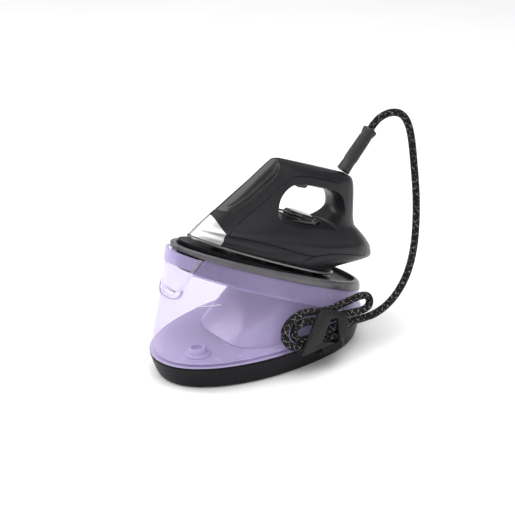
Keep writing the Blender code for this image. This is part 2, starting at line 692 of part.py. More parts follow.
def iron_frame():
    frame = bpy.data.objects.new("iron_frame", None)
    PARTS.objects.link(frame)
    frame.location = NOSE
    frame.rotation_euler = (-IRON_TILT, 0, 0)
    return frame


def heel_drop(rise, y):
    """How far a level dips over the heel, which slopes down behind the handle."""
    return HEEL_DROP * rise * max(0.0, y - HEEL_START_Y) ** 2


def shell_level(row, inset=0.0):
    start, rise, front, rear, half, nose, tail = SHELL_LEVELS[row]
    centre = front + 0.62 * (rear - front)
    shape = dict(front=centre - front, rear=rear - centre, half_width=half, centre=centre, nose=nose,
                 tail=tail)
    return level(outline(shape, inset, count=40), lambda y: start + rise * y - heel_drop(rise, y))


def sole_outline(inset):
    return outline(SOLE, inset, 40)


def sole_level(inset, lift):
    return level(sole_outline(inset), lambda y: lift + SOLE_RAKE * y)


def iron_shell(name):
    return loft(name, [shell_level(row) for row in range(len(SHELL_LEVELS))])


def shifted(points, along):
    return [(y + along, z) for y, z in points]


def make_iron(frame):
    sole = loft("soleplate", [sole_level(0.0015, -0.0010), sole_level(0.0, 0.0), sole_level(0.0, 0.0022),
                              sole_level(0.0020, 0.0030)])
    finish(sole, "brushed_silver", parent=frame)
    body = iron_shell("iron_body")
    boolean(body, slab("grip_cut", GRIP, 0.120))
    boolean(body, loft("casting_cavity", [level(outline(CAVITY), z) for z in (-0.02, 0.0215)]))
    boolean(body, loft("upper_cavity", [level(outline(UPPER_CAVITY, inset), z) for z, inset in
                                        ((0.0205, 0.0), (0.0460, 0.006))]))
    boolean(body, box("trigger_pocket", (-0.0075, 0.1150, 0.0850), (0.0075, 0.1640, 0.1130)))
    boolean(body, cylinder("dial_bore", 0.0052, 0.030, (0, DIAL_CENTRE[0], 0.0450)))
    boolean(body, slab("nose_cut", shifted(NOSE_TRIM, GAP), 0.140))
    boolean(body, slab("panel_cut", [(y + GAP, z - GAP) for y, z in FRONT_PANEL], 0.090))
    boolean(body, slab("heel_cut", shifted(HEEL_COVER, -GAP), 0.160))
    finish(body, "charcoal", parent=frame)
    for name, points, material in (("nose_trim", NOSE_TRIM, "brushed_silver"),
                                   ("front_panel", FRONT_PANEL, "gloss_black"),
                                   ("heel_cover", HEEL_COVER, "charcoal")):
        piece = iron_shell(name)
        boolean(piece, slab(f"{name}_part", points, 0.170), "INTERSECT")
        finish(piece, material, parent=frame)
    casting = loft("heating_casting", [
        level(outline(CAVITY, 0.0020), lambda y: 0.0034 + SOLE_RAKE * y),
        level(outline(CAVITY, 0.0020), 0.0130), level(outline(CAVITY, 0.0080), 0.0165)])
    finish(casting, "cast_aluminium", parent=frame)
    thermostat = cylinder("sole_thermostat", 0.0070, 0.0060, (0, 0.166, 0.0200), sides=20)
    finish(thermostat, "steel", parent=frame)
    terminals = box("terminal_block", (-0.0140, 0.1950, 0.0170), (0.0140, 0.2150, 0.0300), 0.0008)
    finish(terminals, "white_plastic", parent=frame)


def make_controls(frame):
    """The steam trigger under the handle, its spring and switch, and the temperature dial on the deck."""
    y, z = TRIGGER_PIVOT
    trigger = slab("steam_trigger", [
        (y - 0.0030, z - 0.0030), (y - 0.0030, z + 0.0030), (y + 0.0030, z + 0.0030), (0.1560, 0.0982),
        (TRIGGER_END_Y, 0.0970), (0.1570, 0.0935), (0.1450, 0.0925), (0.1300, 0.0950)], 0.0130)
    edge = trigger.modifiers.new("edges", "BEVEL")
    edge.width = 0.0010
    edge.segments = 2
    edge.limit_method = "ANGLE"
    set_origin(finish(trigger, "gloss_black", parent=frame), (0, y, z))
    coil = [(0.0022 * math.cos(a), 0.1400 + 0.0022 * math.sin(a), 0.1011 + 0.0098 * i / 32)
            for i, a in enumerate(math.tau * 4 * i / 32 for i in range(33))]
    finish(tube("trigger_spring", coil, 0.0004, 1), "steel", parent=frame)
    switch = box("steam_switch", (-0.0055, 0.1480, 0.1050), (0.0055, 0.1620, 0.1125), 0.0006)
    finish(switch, "gloss_black", parent=frame)
    dial = turned("temperature_dial", [
        (0.0, 0.0062), (0.0170, 0.0058), (0.0192, 0.0048), (DIAL_RADIUS, 0.0020), (DIAL_RADIUS, 0.0004),
        (0.0046, 0.0004), (0.0046, -0.0140), (0.0, -0.0140)], (0, *DIAL_CENTRE), steps=32)
    finish(dial, "gloss_black", parent=frame)
    foot, tip = Vector((0, *BOOT_FOOT)), Vector((0, *BOOT_TIP))
    length = (tip - foot).length
    lean = math.atan2(tip.y - foot.y, tip.z - foot.z)
    profile = [(0.0, length), (0.0098, length), (0.0100, length - 0.004)]
    for rib in range(6):
        top = length - 0.009 - rib * 0.0080
        profile += [(0.0084, top), (0.0092, top - 0.0010), (0.0092, top - 0.0050)]
    profile += [(0.0090, 0.004), (0.0095, 0.0012), (0.0, 0.0012)]
    boot = turned("hose_boot", profile, foot, (-lean, 0, 0), steps=16)
    finish(boot, "rubber", parent=frame)


def make_cord():
    route = [Vector(point) / 1000 for point in CORD_ROUTE]
    cord = tube("steam_cord", smooth_points(route, CORD_POINTS), CORD_DIAMETER / 2)
    finish(cord, "braid")


make_base()
make_tank()
make_flap()
build_housing()
make_rest()
make_internals()
make_switch()
make_clip()
IRON = iron_frame()
make_iron(IRON)
make_controls(IRON)
make_cord()
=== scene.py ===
"""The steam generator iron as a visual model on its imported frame, with its camera, floor and lights.

Metres, +Z up. The nose points to -Y and the cord clip is on +X.
"""

import math

import bmesh
import bpy
from mathutils import Matrix, Vector


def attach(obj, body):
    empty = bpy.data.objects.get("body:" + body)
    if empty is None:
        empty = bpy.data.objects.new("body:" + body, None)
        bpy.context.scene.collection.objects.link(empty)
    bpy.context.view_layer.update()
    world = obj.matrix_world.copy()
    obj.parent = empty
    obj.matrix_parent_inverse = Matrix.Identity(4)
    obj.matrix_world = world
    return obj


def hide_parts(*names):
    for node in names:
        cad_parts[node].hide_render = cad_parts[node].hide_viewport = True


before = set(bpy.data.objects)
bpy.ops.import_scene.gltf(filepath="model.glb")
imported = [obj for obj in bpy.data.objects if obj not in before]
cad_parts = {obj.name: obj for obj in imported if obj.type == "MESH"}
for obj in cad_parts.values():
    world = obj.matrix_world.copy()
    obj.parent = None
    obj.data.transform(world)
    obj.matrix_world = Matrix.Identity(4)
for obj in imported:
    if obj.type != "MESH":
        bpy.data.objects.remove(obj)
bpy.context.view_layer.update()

# Base and tank, as in the frame. Outlines are superellipses with a power each for nose and tail.
BASE = dict(front=0.177, rear=0.135, half_width=0.090, centre=0.0, nose=2.084, tail=2.343)
REST = dict(front=0.177, rear=0.110, half_width=0.066, centre=0.031, nose=2.052, tail=2.344)
SEAM_Z = 0.0315
FLANGE_Z = 0.0365
TANK_FLOOR_Z = 0.0345
WALL_INSET = 0.0012
WALL_THICKNESS = 0.0025
RING_WIDTH = 0.0075
OUTLET_PLACE = (0.020, -0.129, 0)
# The tray as (share of the base's outline, height), and the recess for the switch in its back.
TRAY_FOOT = ((0.52, 0.0), (0.52, 0.0013), (0.925, 0.0013), (0.938, 0.0018), (0.945, 0.0035))
TRAY_FLARE = 0.055
TRAY_TOP_Z = SEAM_Z - 0.0003
SWITCH_POCKET = ((0.115, 0.0070), (0.150, 0.0070), (0.150, 0.0250), (0.115, 0.0250))
SWITCH_POCKET_X = 0.0130
HOUSING_NOSE_Y = (-0.085, -0.058, -0.034, -0.020, -0.012)
HOUSING_HALF_WIDTH = (0.066, 0.061, 0.0565, 0.0515, 0.050)
HOUSING_TAIL_Y = (0.112, 0.109, 0.106, 0.102, 0.098)
HOUSING_FOOT_Z = 0.0045
# The flap as (share of the wall's height, half width). Its lip leans out above FLAP_STRAIGHT.
FLAP_ROWS = ((0.625, 0.0100), (0.640, 0.0165), (0.665, 0.0200), (0.70, 0.0225), (0.80, 0.0262),
             (0.90, 0.0290), (0.985, 0.0312))
FLAP_LIP = 0.0045
FLAP_STRAIGHT = 0.64
FLAP_LIP_HEIGHT = 0.345
FLAP_COLUMNS = 24
FLAP_FOOT_ROOM = 0.033
FLAP_GAP = 0.0008
# The moulded rib under the flap, outside and inside, as (share, half width).
SPOUT_OUTER = ((0.558, 0.0080), (0.562, 0.0125), (0.572, 0.0172), (0.590, 0.0210), (0.615, 0.0228),
               (0.640, 0.0233), (0.665, 0.0237))
SPOUT_INNER = ((0.5660, 0.0075), (0.5705, 0.0118), (0.580, 0.0158), (0.596, 0.0193), (0.618, 0.0211),
               (0.640, 0.0216), (0.700, 0.0222))
MARK_TURNS = [-1.09 + 0.02 * step for step in range(14)]
MARK_Z = (0.1110, 0.1118)
MARK_INSETS = (WALL_INSET - 0.0002, WALL_INSET + 0.0002)
SIDES = 144

# The iron, in its own frame: y back along the sole from the nose, z up from the nose.
NOSE = (0.0, -0.1248, 0.1867)
IRON_TILT = math.radians(24.425)
IRON = Matrix.Translation(NOSE) @ Matrix.Rotation(-IRON_TILT, 4, "X")
# Each level of the shell: height at y 0, rise along y, front, rear, half width, nose and tail power.
SHELL_LEVELS = (
    (0.0035, -0.020, 0.0030, 0.2385, 0.0495, 1.75, 2.6),
    (0.0080, 0.000, 0.0056, 0.2475, 0.0520, 1.75, 2.6),
    (0.0110, 0.060, 0.0080, 0.3070, 0.0535, 1.75, 1.95),
    (0.0130, 0.110, 0.0092, 0.3060, 0.0530, 1.75, 1.85),
    (0.0165, 0.125, 0.0118, 0.2990, 0.0440, 1.80, 1.80),
    (0.0230, 0.130, 0.0165, 0.2800, 0.0365, 1.85, 1.85),
    (0.0420, 0.075, 0.0320, 0.2675, 0.0305, 1.90, 2.05),
    (0.0620, 0.040, 0.0470, 0.2590, 0.0262, 1.95, 2.2),
    (0.0840, 0.020, 0.0640, 0.2515, 0.0225, 2.00, 2.3),
    (0.1010, 0.020, 0.0768, 0.2440, 0.0208, 2.00, 2.3),
    (0.1120, 0.020, 0.0850, 0.2380, 0.0185, 2.00, 2.3),
    (0.1175, 0.022, 0.0900, 0.2315, 0.0140, 2.00, 2.4),
    (0.1195, 0.022, 0.0960, 0.2220, 0.0080, 2.00, 2.2),
)
GRIP = ((0.113, 0.066), (0.117, 0.084), (0.134, 0.0965), (0.190, 0.0985), (0.212, 0.092),
        (0.222, 0.076), (0.213, 0.060), (0.204, 0.0545), (0.128, 0.0545))
GRIP_OUTER = ((0.103, 0.0630), (0.107, 0.0880), (0.131, 0.1020), (0.186, 0.1050), (0.216, 0.0990),
              (0.232, 0.0740), (0.217, 0.0560), (0.202, 0.0490), (0.117, 0.0460))
GRIP_LIP_X = (0.0120, 0.0330)
TRIGGER_POCKET = ((0.1150, 0.0850), (0.1640, 0.0850), (0.1640, 0.1110), (0.1150, 0.1110))
TRIGGER_POCKET_X = 0.0075
NOSE_TRIM = ((-0.030, -0.020), (-0.030, 0.060), (0.0225, 0.033), (0.0370, 0.0175), (0.0245, -0.020))
FRONT_PANEL = ((0.010, 0.0405), (0.030, 0.0400), (0.039, 0.0412), (0.050, 0.0475), (0.0665, 0.0635),
               (0.082, 0.0825), (0.095, 0.099), (0.0995, 0.113), (0.0975, 0.140), (0.020, 0.140))
HEEL_COVER = ((0.272, -0.030), (0.266, 0.060), (0.360, 0.060), (0.360, -0.030))
SOLE = dict(front=0.165, rear=0.0740, half_width=0.0520, centre=0.165, nose=1.72, tail=2.6)
PIECE_GAP = 0.0003
# How much of the shell's length lies ahead of its widest place, and where and how fast the heel dips.
WIDEST_SHARE = 0.62
HEEL_Y = 0.245
HEEL_DIP = 27.0
SHELL_STEPS = 4
SHELL_SIDES = 112
# Seams on the iron's side, as points on its surface.
SEAM_WIDTH = 0.0008
SEAM_DEPTH = 0.0020
SEAMS = (
    ((0.0262, 0.0370, 0.0120), (0.0257, 0.0406, 0.0165), (0.0203, 0.0575, 0.0366),
     (0.0185, 0.0782, 0.0585), (0.0176, 0.0917, 0.0734), (0.0166, 0.1029, 0.0874),
     (0.0164, 0.1127, 0.0993), (0.0171, 0.1304, 0.1087), (0.0190, 0.1666, 0.1119),
     (0.0183, 0.2028, 0.1127)),
    ((0.0120, 0.2247, 0.1179), (0.0152, 0.2394, 0.0848), (0.0252, 0.2448, 0.0561)),
    ((0.0262, 0.0412, 0.0153), (0.0326, 0.0586, 0.0175), (0.0387, 0.0796, 0.0185),
     (0.0453, 0.1095, 0.0187), (0.0507, 0.1427, 0.0169), (0.0526, 0.1672, 0.0170)),
    ((0.0494, 0.1500, 0.0060), (0.0523, 0.1579, 0.0118), (0.0531, 0.1788, 0.0207),
     (0.0523, 0.2136, 0.0277), (0.0391, 0.2684, 0.0296)),
)
# The dial and the deck plate round it, as (radius, height) and (inset, height).
DIAL_CENTRE = (0.166, 0.0548)
DIAL_PROFILE = ((0.0, 0.0062), (0.0120, 0.0062), (0.0164, 0.0060), (0.0180, 0.0054), (0.0190, 0.0047),
                (0.0200, 0.0030), (0.0200, 0.0006), (0.0196, 0.0004), (0.0, 0.0004))
DIAL_SIDES = 96
DIAL_RIM = 0.0188
DIAL_RIBS = 32
DIAL_RIB_DEPTH = 0.0004
DECK = dict(front=0.0385, rear=0.0370, half_width=0.0215, centre=0.1660, nose=2.2, tail=2.2)
DECK_PROFILE = ((0.0010, 0.0500), (0.0, 0.0510), (0.0, 0.0554), (0.0003, 0.0559), (0.0009, 0.0559),
                (0.0012, 0.0554), (0.0014, 0.0549))
# The cord's boot. Its profiles are (radius, distance from its tip) or (radius, height over its foot).
BOOT_FOOT = (0.2168, 0.1262)
BOOT_TIP = (0.2405, 0.1890)
BOOT_COLLAR = ((0.0, 0.0), (0.0070, 0.0), (0.0094, 0.0003), (0.0100, 0.0012), (0.0098, 0.0040),
               (0.0086, 0.0085), (0.0080, 0.0110))
BOOT_RIBS = 10
BOOT_FIRST_RIB = 0.0120
BOOT_RIB_STEP = 0.0036
BOOT_RIB_GROWTH = 0.00006
BOOT_RIB = ((0.0078, -0.0004), (0.0078, 0.0), (0.0087, 0.0004), (0.0088, 0.0018), (0.0085, 0.0026))
BOOT_BASE = ((0.0084, 0.0150), (0.0088, 0.0080), (0.0092, 0.0012), (0.0, 0.0012))

# The steam cord's route from the boot's tip to the gland in the base, written in millimetres.
CORD_DIAMETER = 0.0100
CORD_STEP = 0.0024
CORD_SIDES = 20
BRAID_TURN = 0.030
BRAID_CARRIERS = 20
CORD_ROUTE = [Vector(point) / 1000 for point in (
    (0, 172.6, 260.2), (1, 178, 267), (4, 187, 275), (10, 198.5, 280), (17, 209.5, 278), (23, 216.5, 267),
    (29, 219.5, 246), (38, 218.5, 208), (48, 215, 168), (58, 207, 129), (66, 196, 98), (74, 179, 74),
    (81.5, 156, 57), (87, 132, 47.5), (90, 108, 43.2), (90, 88, 43), (89.7, 68, 44.8), (90.2, 52, 46.8),
    (91.3, 30, 46.6), (92.7, 10, 46.6), (93.1, -6, 46.2), (92.6, -17, 46.4), (91.6, -25.5, 49.6),
    (90.1, -29.2, 56.6), (88.5, -26, 63.6), (87.8, -17.5, 67), (87.7, -3, 66.2), (88.4, 14, 62),
    (88.2, 28, 59), (87.2, 40, 58), (86.8, 53, 57.8), (88, 68, 56.4), (89.2, 83, 55), (88.7, 92.5, 55.3),
    (87.8, 98.5, 57.8), (86.4, 101, 63.7), (84.9, 98.5, 69.6), (83.4, 92.5, 72.1), (82.3, 82, 72.2),
    (81.5, 68, 70.5), (81.0, 52, 69), (82.7, 40, 69), (84.4, 20, 72.2), (84.3, 3, 77), (84.3, -14, 78.6),
    (85.4, -31, 74.5), (87.3, -41.8, 64.5), (90.2, -41.8, 51), (93.2, -31, 40.8), (95.3, -14, 36.4),
    (95.4, 8, 36.0), (94.4, 24, 35.6), (93.6, 36.9, 35.6))]

# The cord clip, as in the frame.
CLIP_LEAN = 0.29
CLIP_FOOT_X = 0.1064
CLIP_FOOT_Z = 0.0365
CLIP_THICKNESS = 0.0040
CLIP_OUTLINE = ((-0.0300, 0.0325), (-0.0283, 0.0362), (0.0062, 0.0740), (0.0130, 0.0785),
                (0.0290, 0.0750), (0.0465, 0.0675), (0.0520, 0.0590), (0.0512, 0.0490),
                (0.0472, 0.0405), (0.0390, 0.0345))
CLIP_WINDOW = ((0.0252, 0.0660), (0.0368, 0.0632), (0.0338, 0.0350), (0.0290, 0.0335), (0.0052, 0.0412))
CLIP_TAB = ((0.0025, 0.0332), (0.0375, 0.0332), (0.0350, 0.0255), (0.0040, 0.0255))
CLIP_FOOT = ((0.0010, 0.0235), (0.0365, 0.0235), (0.0365, 0.0300), (0.0010, 0.0300))
CLIP_FOOT_SPAN = (0.0902, 0.1050)

# The camera's way back from its target, and the lights as (name, place, target, size, watts).
CAMERA_TARGET = Vector((0.0, 0.0, 0.132))
CAMERA_WAY = Vector((0.7125, -0.5609, 0.4216)).normalized()
CAMERA_DISTANCE = 1.849
LENS_MM = 100.1
LENS_SHIFT = (-0.0204, -0.0128)
FLOOR_REACH = 6
LIGHTS = (
    ("overhead", (0.1, -0.1, 2.2), (0, 0, 0.1), (2.6, 2.6), 46.0),
    ("left_strip", (-1.2, -1.0, 1.0), (0, 0, 0.15), (0.5, 1.6), 14.0),
    ("right_strip", (1.5, 0.8, 0.8), (0, 0, 0.14), (0.30, 1.2), 3.0),
    ("front_fill", (0.9, -1.9, 0.55), (0, 0, 0.10), (1.2, 0.6), 9.0),
)


# Heights of the slanted surfaces.

def rest_plane(y):
    """The plane where the tank ends and the rest's ring begins."""
    return 0.111 - 0.454 * y


def ring_top(y):
    """The ring's top, 7 mm over its foot at the front and 12 mm at the rear."""
    return rest_plane(y) + 0.0070 + 0.0050 * (y + 0.146) / 0.287


def skirt_foot(y):
    """The lower edge of the rest's black skirt, behind the tank's wall."""
    drop = min(0.026, max(0.0035, 0.55 * (rest_plane(y) - SEAM_Z) - 0.006))
    return rest_plane(y) - drop


def sole_plane(y):
    """The plane that the parked soleplate lies on."""
    return 0.1252 - 0.477 * y


# Node-based materials.

def new_material(name):
    material = bpy.data.materials.new(name)
    material.use_nodes = True
    return material, material.node_tree.nodes, material.node_tree.links


def node(nodes, kind, **values):
    item = nodes.new(kind)
    for key, value in values.items():
        setattr(item, key, value)
    return item


def set_inputs(item, **values):
    """Sets a node's inputs; an underscore in a keyword stands for a space in the input's name."""
    for key, value in values.items():
        item.inputs[key.replace("_", " ")].default_value = value


def noise(nodes, links, scale, detail=4.0, stretch=(1, 1, 1)):
    """Noise in object space, stretched along any axis whose factor is under 1."""
    place = node(nodes, "ShaderNodeTexCoord")
    mapping = node(nodes, "ShaderNodeMapping")
    set_inputs(mapping, Scale=stretch)
    texture = node(nodes, "ShaderNodeTexNoise")
    set_inputs(texture, Scale=scale, Detail=detail)
    links.new(place.outputs["Object"], mapping.inputs["Vector"])
    links.new(mapping.outputs["Vector"], texture.inputs["Vector"])
    return texture.outputs["Fac"]


def ramp(nodes, links, source, low, high, start=0.3, end=0.7):
    """A value spread between low and high as the source goes from start to end."""
    item = node(nodes, "ShaderNodeMapRange")
    set_inputs(item, From_Min=start, From_Max=end, To_Min=low, To_Max=high)
    links.new(source, item.inputs["Value"])
    return item.outputs["Result"]


def blend_colours(nodes, links, factor, first, second):
    """Blends two colours. Each is three numbers or another node's output."""
    item = node(nodes, "ShaderNodeMix", data_type="RGBA")
    links.new(factor, item.inputs["Factor"])
    colours = [socket for socket in item.inputs if socket.type == "RGBA"]
    for socket, colour in zip(colours, (first, second)):
        if isinstance(colour, tuple):
            socket.default_value = (*colour, 1.0)
        else:
            links.new(colour, socket)
    return next(socket for socket in item.outputs if socket.type == "RGBA")


def soft_edge(nodes, radius):
    """A normal that rounds the edges off within a radius."""
    soft = node(nodes, "ShaderNodeBevel", samples=4)
    set_inputs(soft, Radius=radius)
    return soft.outputs["Normal"]


def add_relief(nodes, links, height, strength, distance=0.0002, normal=None):
    """Gives the material's shader a bump from a height, on top of a normal if there is one."""
    bump = node(nodes, "ShaderNodeBump")
    set_inputs(bump, Strength=strength, Distance=distance)
    links.new(height, bump.inputs["Height"])
    if normal is not None:
        links.new(normal, bump.inputs["Normal"])
    links.new(bump.outputs["Normal"], nodes["Principled BSDF"].inputs["Normal"])


def plastic(name, colour, roughness, metallic=0.0, grain=900.0, bump=0.10, edge=0.0006, spread=0.25,
            vary=0.10, stretch=(1, 1, 1), coat=0.0, edge_highlight=0.0, specular=0.5):
    """A moulded or metal surface: fine grain, uneven gloss, soft edges and, with an edge highlight, edges
    painted paler as a painted highlight.
    """
    material, nodes, links = new_material(name)
    shader = nodes["Principled BSDF"]
    set_inputs(shader, Metallic=metallic, Specular_IOR_Level=specular)
    if coat:
        set_inputs(shader, Coat_Weight=coat, Coat_Roughness=0.05)
    fine = noise(nodes, links, grain, 3.0, stretch)
    cloud = noise(nodes, links, 24.0, 4.0)
    dark = tuple(channel * (1 - spread) for channel in colour)
    light = tuple(min(1.0, channel * (1 + spread)) for channel in colour)
    shade = blend_colours(nodes, links, ramp(nodes, links, cloud, 0.0, 1.0), dark, light)
    soft = soft_edge(nodes, edge)
    # Painted highlight: where the rounded normal turns away from the face's own normal, the edge is
    # painted paler to stand for light caught on the bevel.
    if edge_highlight:
        geometry = node(nodes, "ShaderNodeNewGeometry")
        turn = node(nodes, "ShaderNodeVectorMath", operation="DOT_PRODUCT")
        links.new(geometry.outputs["Normal"], turn.inputs[0])
        links.new(soft, turn.inputs[1])
        highlit_edges = ramp(nodes, links, turn.outputs["Value"], edge_highlight, 0.0, 0.75, 0.995)
        highlight_colour = tuple(min(1.0, channel * 3 + 0.05) for channel in colour)
        shade = blend_colours(nodes, links, highlit_edges, shade, highlight_colour)
    links.new(shade, shader.inputs["Base Color"])
    gloss = ramp(nodes, links, cloud, roughness * (1 - vary), roughness * (1 + vary))
    links.new(gloss, shader.inputs["Roughness"])
    add_relief(nodes, links, fine, bump, normal=soft)
    return material


def clear_plastic(name, tint, body, solid_face, solid_edge, roughness=0.06, coat=0.15):
    """Tinted see-through plastic, more solid and glossier where it turns away."""
    material, nodes, links = new_material(name)
    shader = nodes["Principled BSDF"]
    set_inputs(shader, Coat_Weight=coat, Coat_Roughness=0.04)
    cloud = noise(nodes, links, 16.0, 3.0)
    fine = noise(nodes, links, 40.0, 2.0)
    light = tuple(min(1.0, channel * 1.10) for channel in body)
    links.new(blend_colours(nodes, links, ramp(nodes, links, cloud, 0.0, 1.0), body, light),
              shader.inputs["Base Color"])
    links.new(ramp(nodes, links, cloud, roughness * 0.7, roughness * 1.4), shader.inputs["Roughness"])
    add_relief(nodes, links, fine, 0.05, normal=soft_edge(nodes, 0.0006))
    through = node(nodes, "ShaderNodeBsdfTransparent")
    set_inputs(through, Color=(*tint, 1.0))
    facing = node(nodes, "ShaderNodeLayerWeight")
    set_inputs(facing, Blend=0.35)
    share = ramp(nodes, links, facing.outputs["Facing"], solid_face, solid_edge, 0.0, 1.0)
    join = node(nodes, "ShaderNodeMixShader")
    links.new(share, join.inputs[0])
    links.new(through.outputs[0], join.inputs[1])
    links.new(shader.outputs[0], join.inputs[2])
    links.new(join.outputs[0], nodes["Material Output"].inputs["Surface"])
    return material


def braid_material(name):
    """Woven black sleeve with pale flecks: u counts turns along the cord and v goes once round it."""
    material, nodes, links = new_material(name)
    shader = nodes["Principled BSDF"]
    place = node(nodes, "ShaderNodeUVMap", uv_map="braid")
    parts = node(nodes, "ShaderNodeSeparateXYZ")
    links.new(place.outputs["UV"], parts.inputs[0])

    def calc(operation, first, second=None):
        item = node(nodes, "ShaderNodeMath", operation=operation)
        for socket, value in ((item.inputs[0], first), (item.inputs[1], second)):
            if value is None:
                continue
            if isinstance(value, (int, float)):
                socket.default_value = value
            else:
                links.new(value, socket)
        return item.outputs[0]

    along = calc("MULTIPLY", parts.outputs[0], BRAID_CARRIERS)
    around = calc("MULTIPLY", parts.outputs[1], BRAID_CARRIERS)
    left = calc("ADD", around, along)
    right = calc("SUBTRACT", around, along)
    left_cell = calc("FLOOR", left)
    right_cell = calc("FLOOR", right)
    left_side = calc("PINGPONG", left, 0.5)
    right_side = calc("PINGPONG", right, 0.5)
    over = calc("FLOORED_MODULO", calc("ADD", left_cell, right_cell), 2.0)
    under = calc("SUBTRACT", 1.0, over)
    height = calc("ADD", calc("MULTIPLY", calc("MULTIPLY", left_side, 2.0), over),
                  calc("MULTIPLY", calc("MULTIPLY", right_side, 2.0), under))
    # One strand in seven one way and one in six the other way is pale.
    fleck_left = calc("MULTIPLY", calc("LESS_THAN", calc("FLOORED_MODULO", left_cell, 7.0), 0.5), over)
    fleck_right = calc("MULTIPLY", calc("LESS_THAN", calc("FLOORED_MODULO", right_cell, 6.0), 0.5), under)
    fleck = calc("MAXIMUM", fleck_left, fleck_right)
    ragged = calc("GREATER_THAN", noise(nodes, links, 300.0, 2.0), 0.49)
    fleck = calc("MULTIPLY", calc("MULTIPLY", fleck, ragged), calc("GREATER_THAN", height, 0.55))
    links.new(blend_colours(nodes, links, fleck, (0.005, 0.005, 0.006), (0.70, 0.68, 0.60)),
              shader.inputs["Base Color"])
    set_inputs(shader, Specular_IOR_Level=0.22)
    links.new(ramp(nodes, links, height, 0.85, 0.60, 0.0, 1.0), shader.inputs["Roughness"])
    add_relief(nodes, links, height, 0.9, 0.0006)
    return material


MATERIAL = {
    "base_black": plastic("base_black", (0.007, 0.007, 0.009), 0.40, bump=0.05, specular=0.12),
    # The grey ring's and the clip's edges get a painted highlight.
    "dark_grey": plastic("dark_grey", (0.085, 0.085, 0.092), 0.30, bump=0.03, edge_highlight=0.10, edge=0.0009),
    "clip_grey": plastic("clip_grey", (0.012, 0.012, 0.013), 0.30, bump=0.02, edge_highlight=0.30, edge=0.0014,
                         specular=0.26),
    "charcoal": plastic("charcoal", (0.0150, 0.0145, 0.0175), 0.32, bump=0.02, spread=0.12, edge=0.0018,
                        specular=0.20),
    "gloss_black": plastic("gloss_black", (0.004, 0.004, 0.005), 0.16, bump=0.01, coat=0.3, edge=0.0008,
                           specular=0.35),
    "panel_black": plastic("panel_black", (0.006, 0.006, 0.007), 0.20, bump=0.01, edge=0.0030,
                           specular=0.60),
    "lilac_clear": clear_plastic("lilac_clear", (0.978, 0.966, 0.994), (0.62, 0.56, 0.80), 0.035, 0.36,
                                 coat=0.5),
    "lilac_flap": clear_plastic("lilac_flap", (0.965, 0.95, 0.99), (0.72, 0.67, 0.88), 0.10, 0.75),
    "lilac_lip": clear_plastic("lilac_lip", (0.88, 0.85, 0.95), (0.50, 0.44, 0.68), 0.40, 0.85, 0.18),
    "lilac_band": clear_plastic("lilac_band", (0.86, 0.82, 0.95), (0.36, 0.31, 0.50), 0.42, 0.80, 0.30),
    "lilac_housing": clear_plastic("lilac_housing", (0.80, 0.74, 0.92), (0.56, 0.50, 0.72), 0.72, 0.90,
                                   0.22),
    "sole_steel": plastic("sole_steel", (0.17, 0.17, 0.175), 0.30, metallic=1.0, grain=400.0, bump=0.04,
                          spread=0.15, edge=0.0005),
    "brushed_silver": plastic("brushed_silver", (0.54, 0.54, 0.55), 0.42, metallic=1.0, grain=500.0,
                              bump=0.05, stretch=(0.04, 1, 1), spread=0.06, vary=0.25, edge=0.0005),
    "cast_aluminium": plastic("cast_aluminium", (0.50, 0.50, 0.51), 0.50, metallic=1.0, grain=400.0,
                              bump=0.4),
    "steel": plastic("steel", (0.60, 0.60, 0.62), 0.28, metallic=1.0, stretch=(1, 1, 0.05), bump=0.15),
    "rubber": plastic("rubber", (0.010, 0.010, 0.011), 0.50, grain=700.0, bump=0.15),
    "white_plastic": plastic("white_plastic", (0.74, 0.74, 0.72), 0.42, spread=0.04),
    "silicone": plastic("silicone", (0.80, 0.76, 0.68), 0.45, spread=0.05),
    "copper": plastic("copper", (0.72, 0.40, 0.26), 0.28, metallic=1.0, bump=0.08),
    "board_green": plastic("board_green", (0.03, 0.20, 0.09), 0.45, grain=300.0, bump=0.2),
    "print_white": plastic("print_white", (0.75, 0.75, 0.76), 0.40, spread=0.04),
    "braid": braid_material("braid"),
}


# Camera, floor and lights.

def make_camera():
    data = bpy.data.cameras.new("camera")
    camera = bpy.data.objects.new("camera", data)
    bpy.context.scene.collection.objects.link(camera)
    camera.location = CAMERA_TARGET + CAMERA_WAY * CAMERA_DISTANCE
    camera.rotation_euler = CAMERA_WAY.to_track_quat("Z", "Y").to_euler()
    data.sensor_width = 36.0
    data.lens = LENS_MM
    data.shift_x, data.shift_y = LENS_SHIFT
    data.clip_end = 50.0
    bpy.context.scene.camera = camera


def make_stage():
    material, nodes, links = new_material("floor_pale")
    shader = nodes["Principled BSDF"]
    set_inputs(shader, Roughness=0.55)
    cloud = noise(nodes, links, 3.0, 2.0)
    links.new(blend_colours(nodes, links, ramp(nodes, links, cloud, 0.0, 1.0), (0.90, 0.90, 0.90),
                            (0.93, 0.93, 0.93)), shader.inputs["Base Color"])
    mesh = bpy.data.meshes.new("floor")
    corners = [(x * FLOOR_REACH, y * FLOOR_REACH, 0) for x, y in ((-1, -1), (1, -1), (1, 1), (-1, 1))]
    mesh.from_pydata(corners, [], [(0, 1, 2, 3)])
    floor = bpy.data.objects.new("floor", mesh)
    mesh.materials.append(material)
    bpy.context.scene.collection.objects.link(floor)


def area_light(name, location, target, size, power):
    data = bpy.data.lights.new(name, "AREA")
    data.shape = "RECTANGLE"
    data.size, data.size_y = size
    data.energy = power
    lamp = bpy.data.objects.new(name, data)
    lamp.location = location
    lamp.rotation_euler = (Vector(location) - Vector(target)).to_track_quat("Z", "Y").to_euler()
    bpy.context.scene.collection.objects.link(lamp)


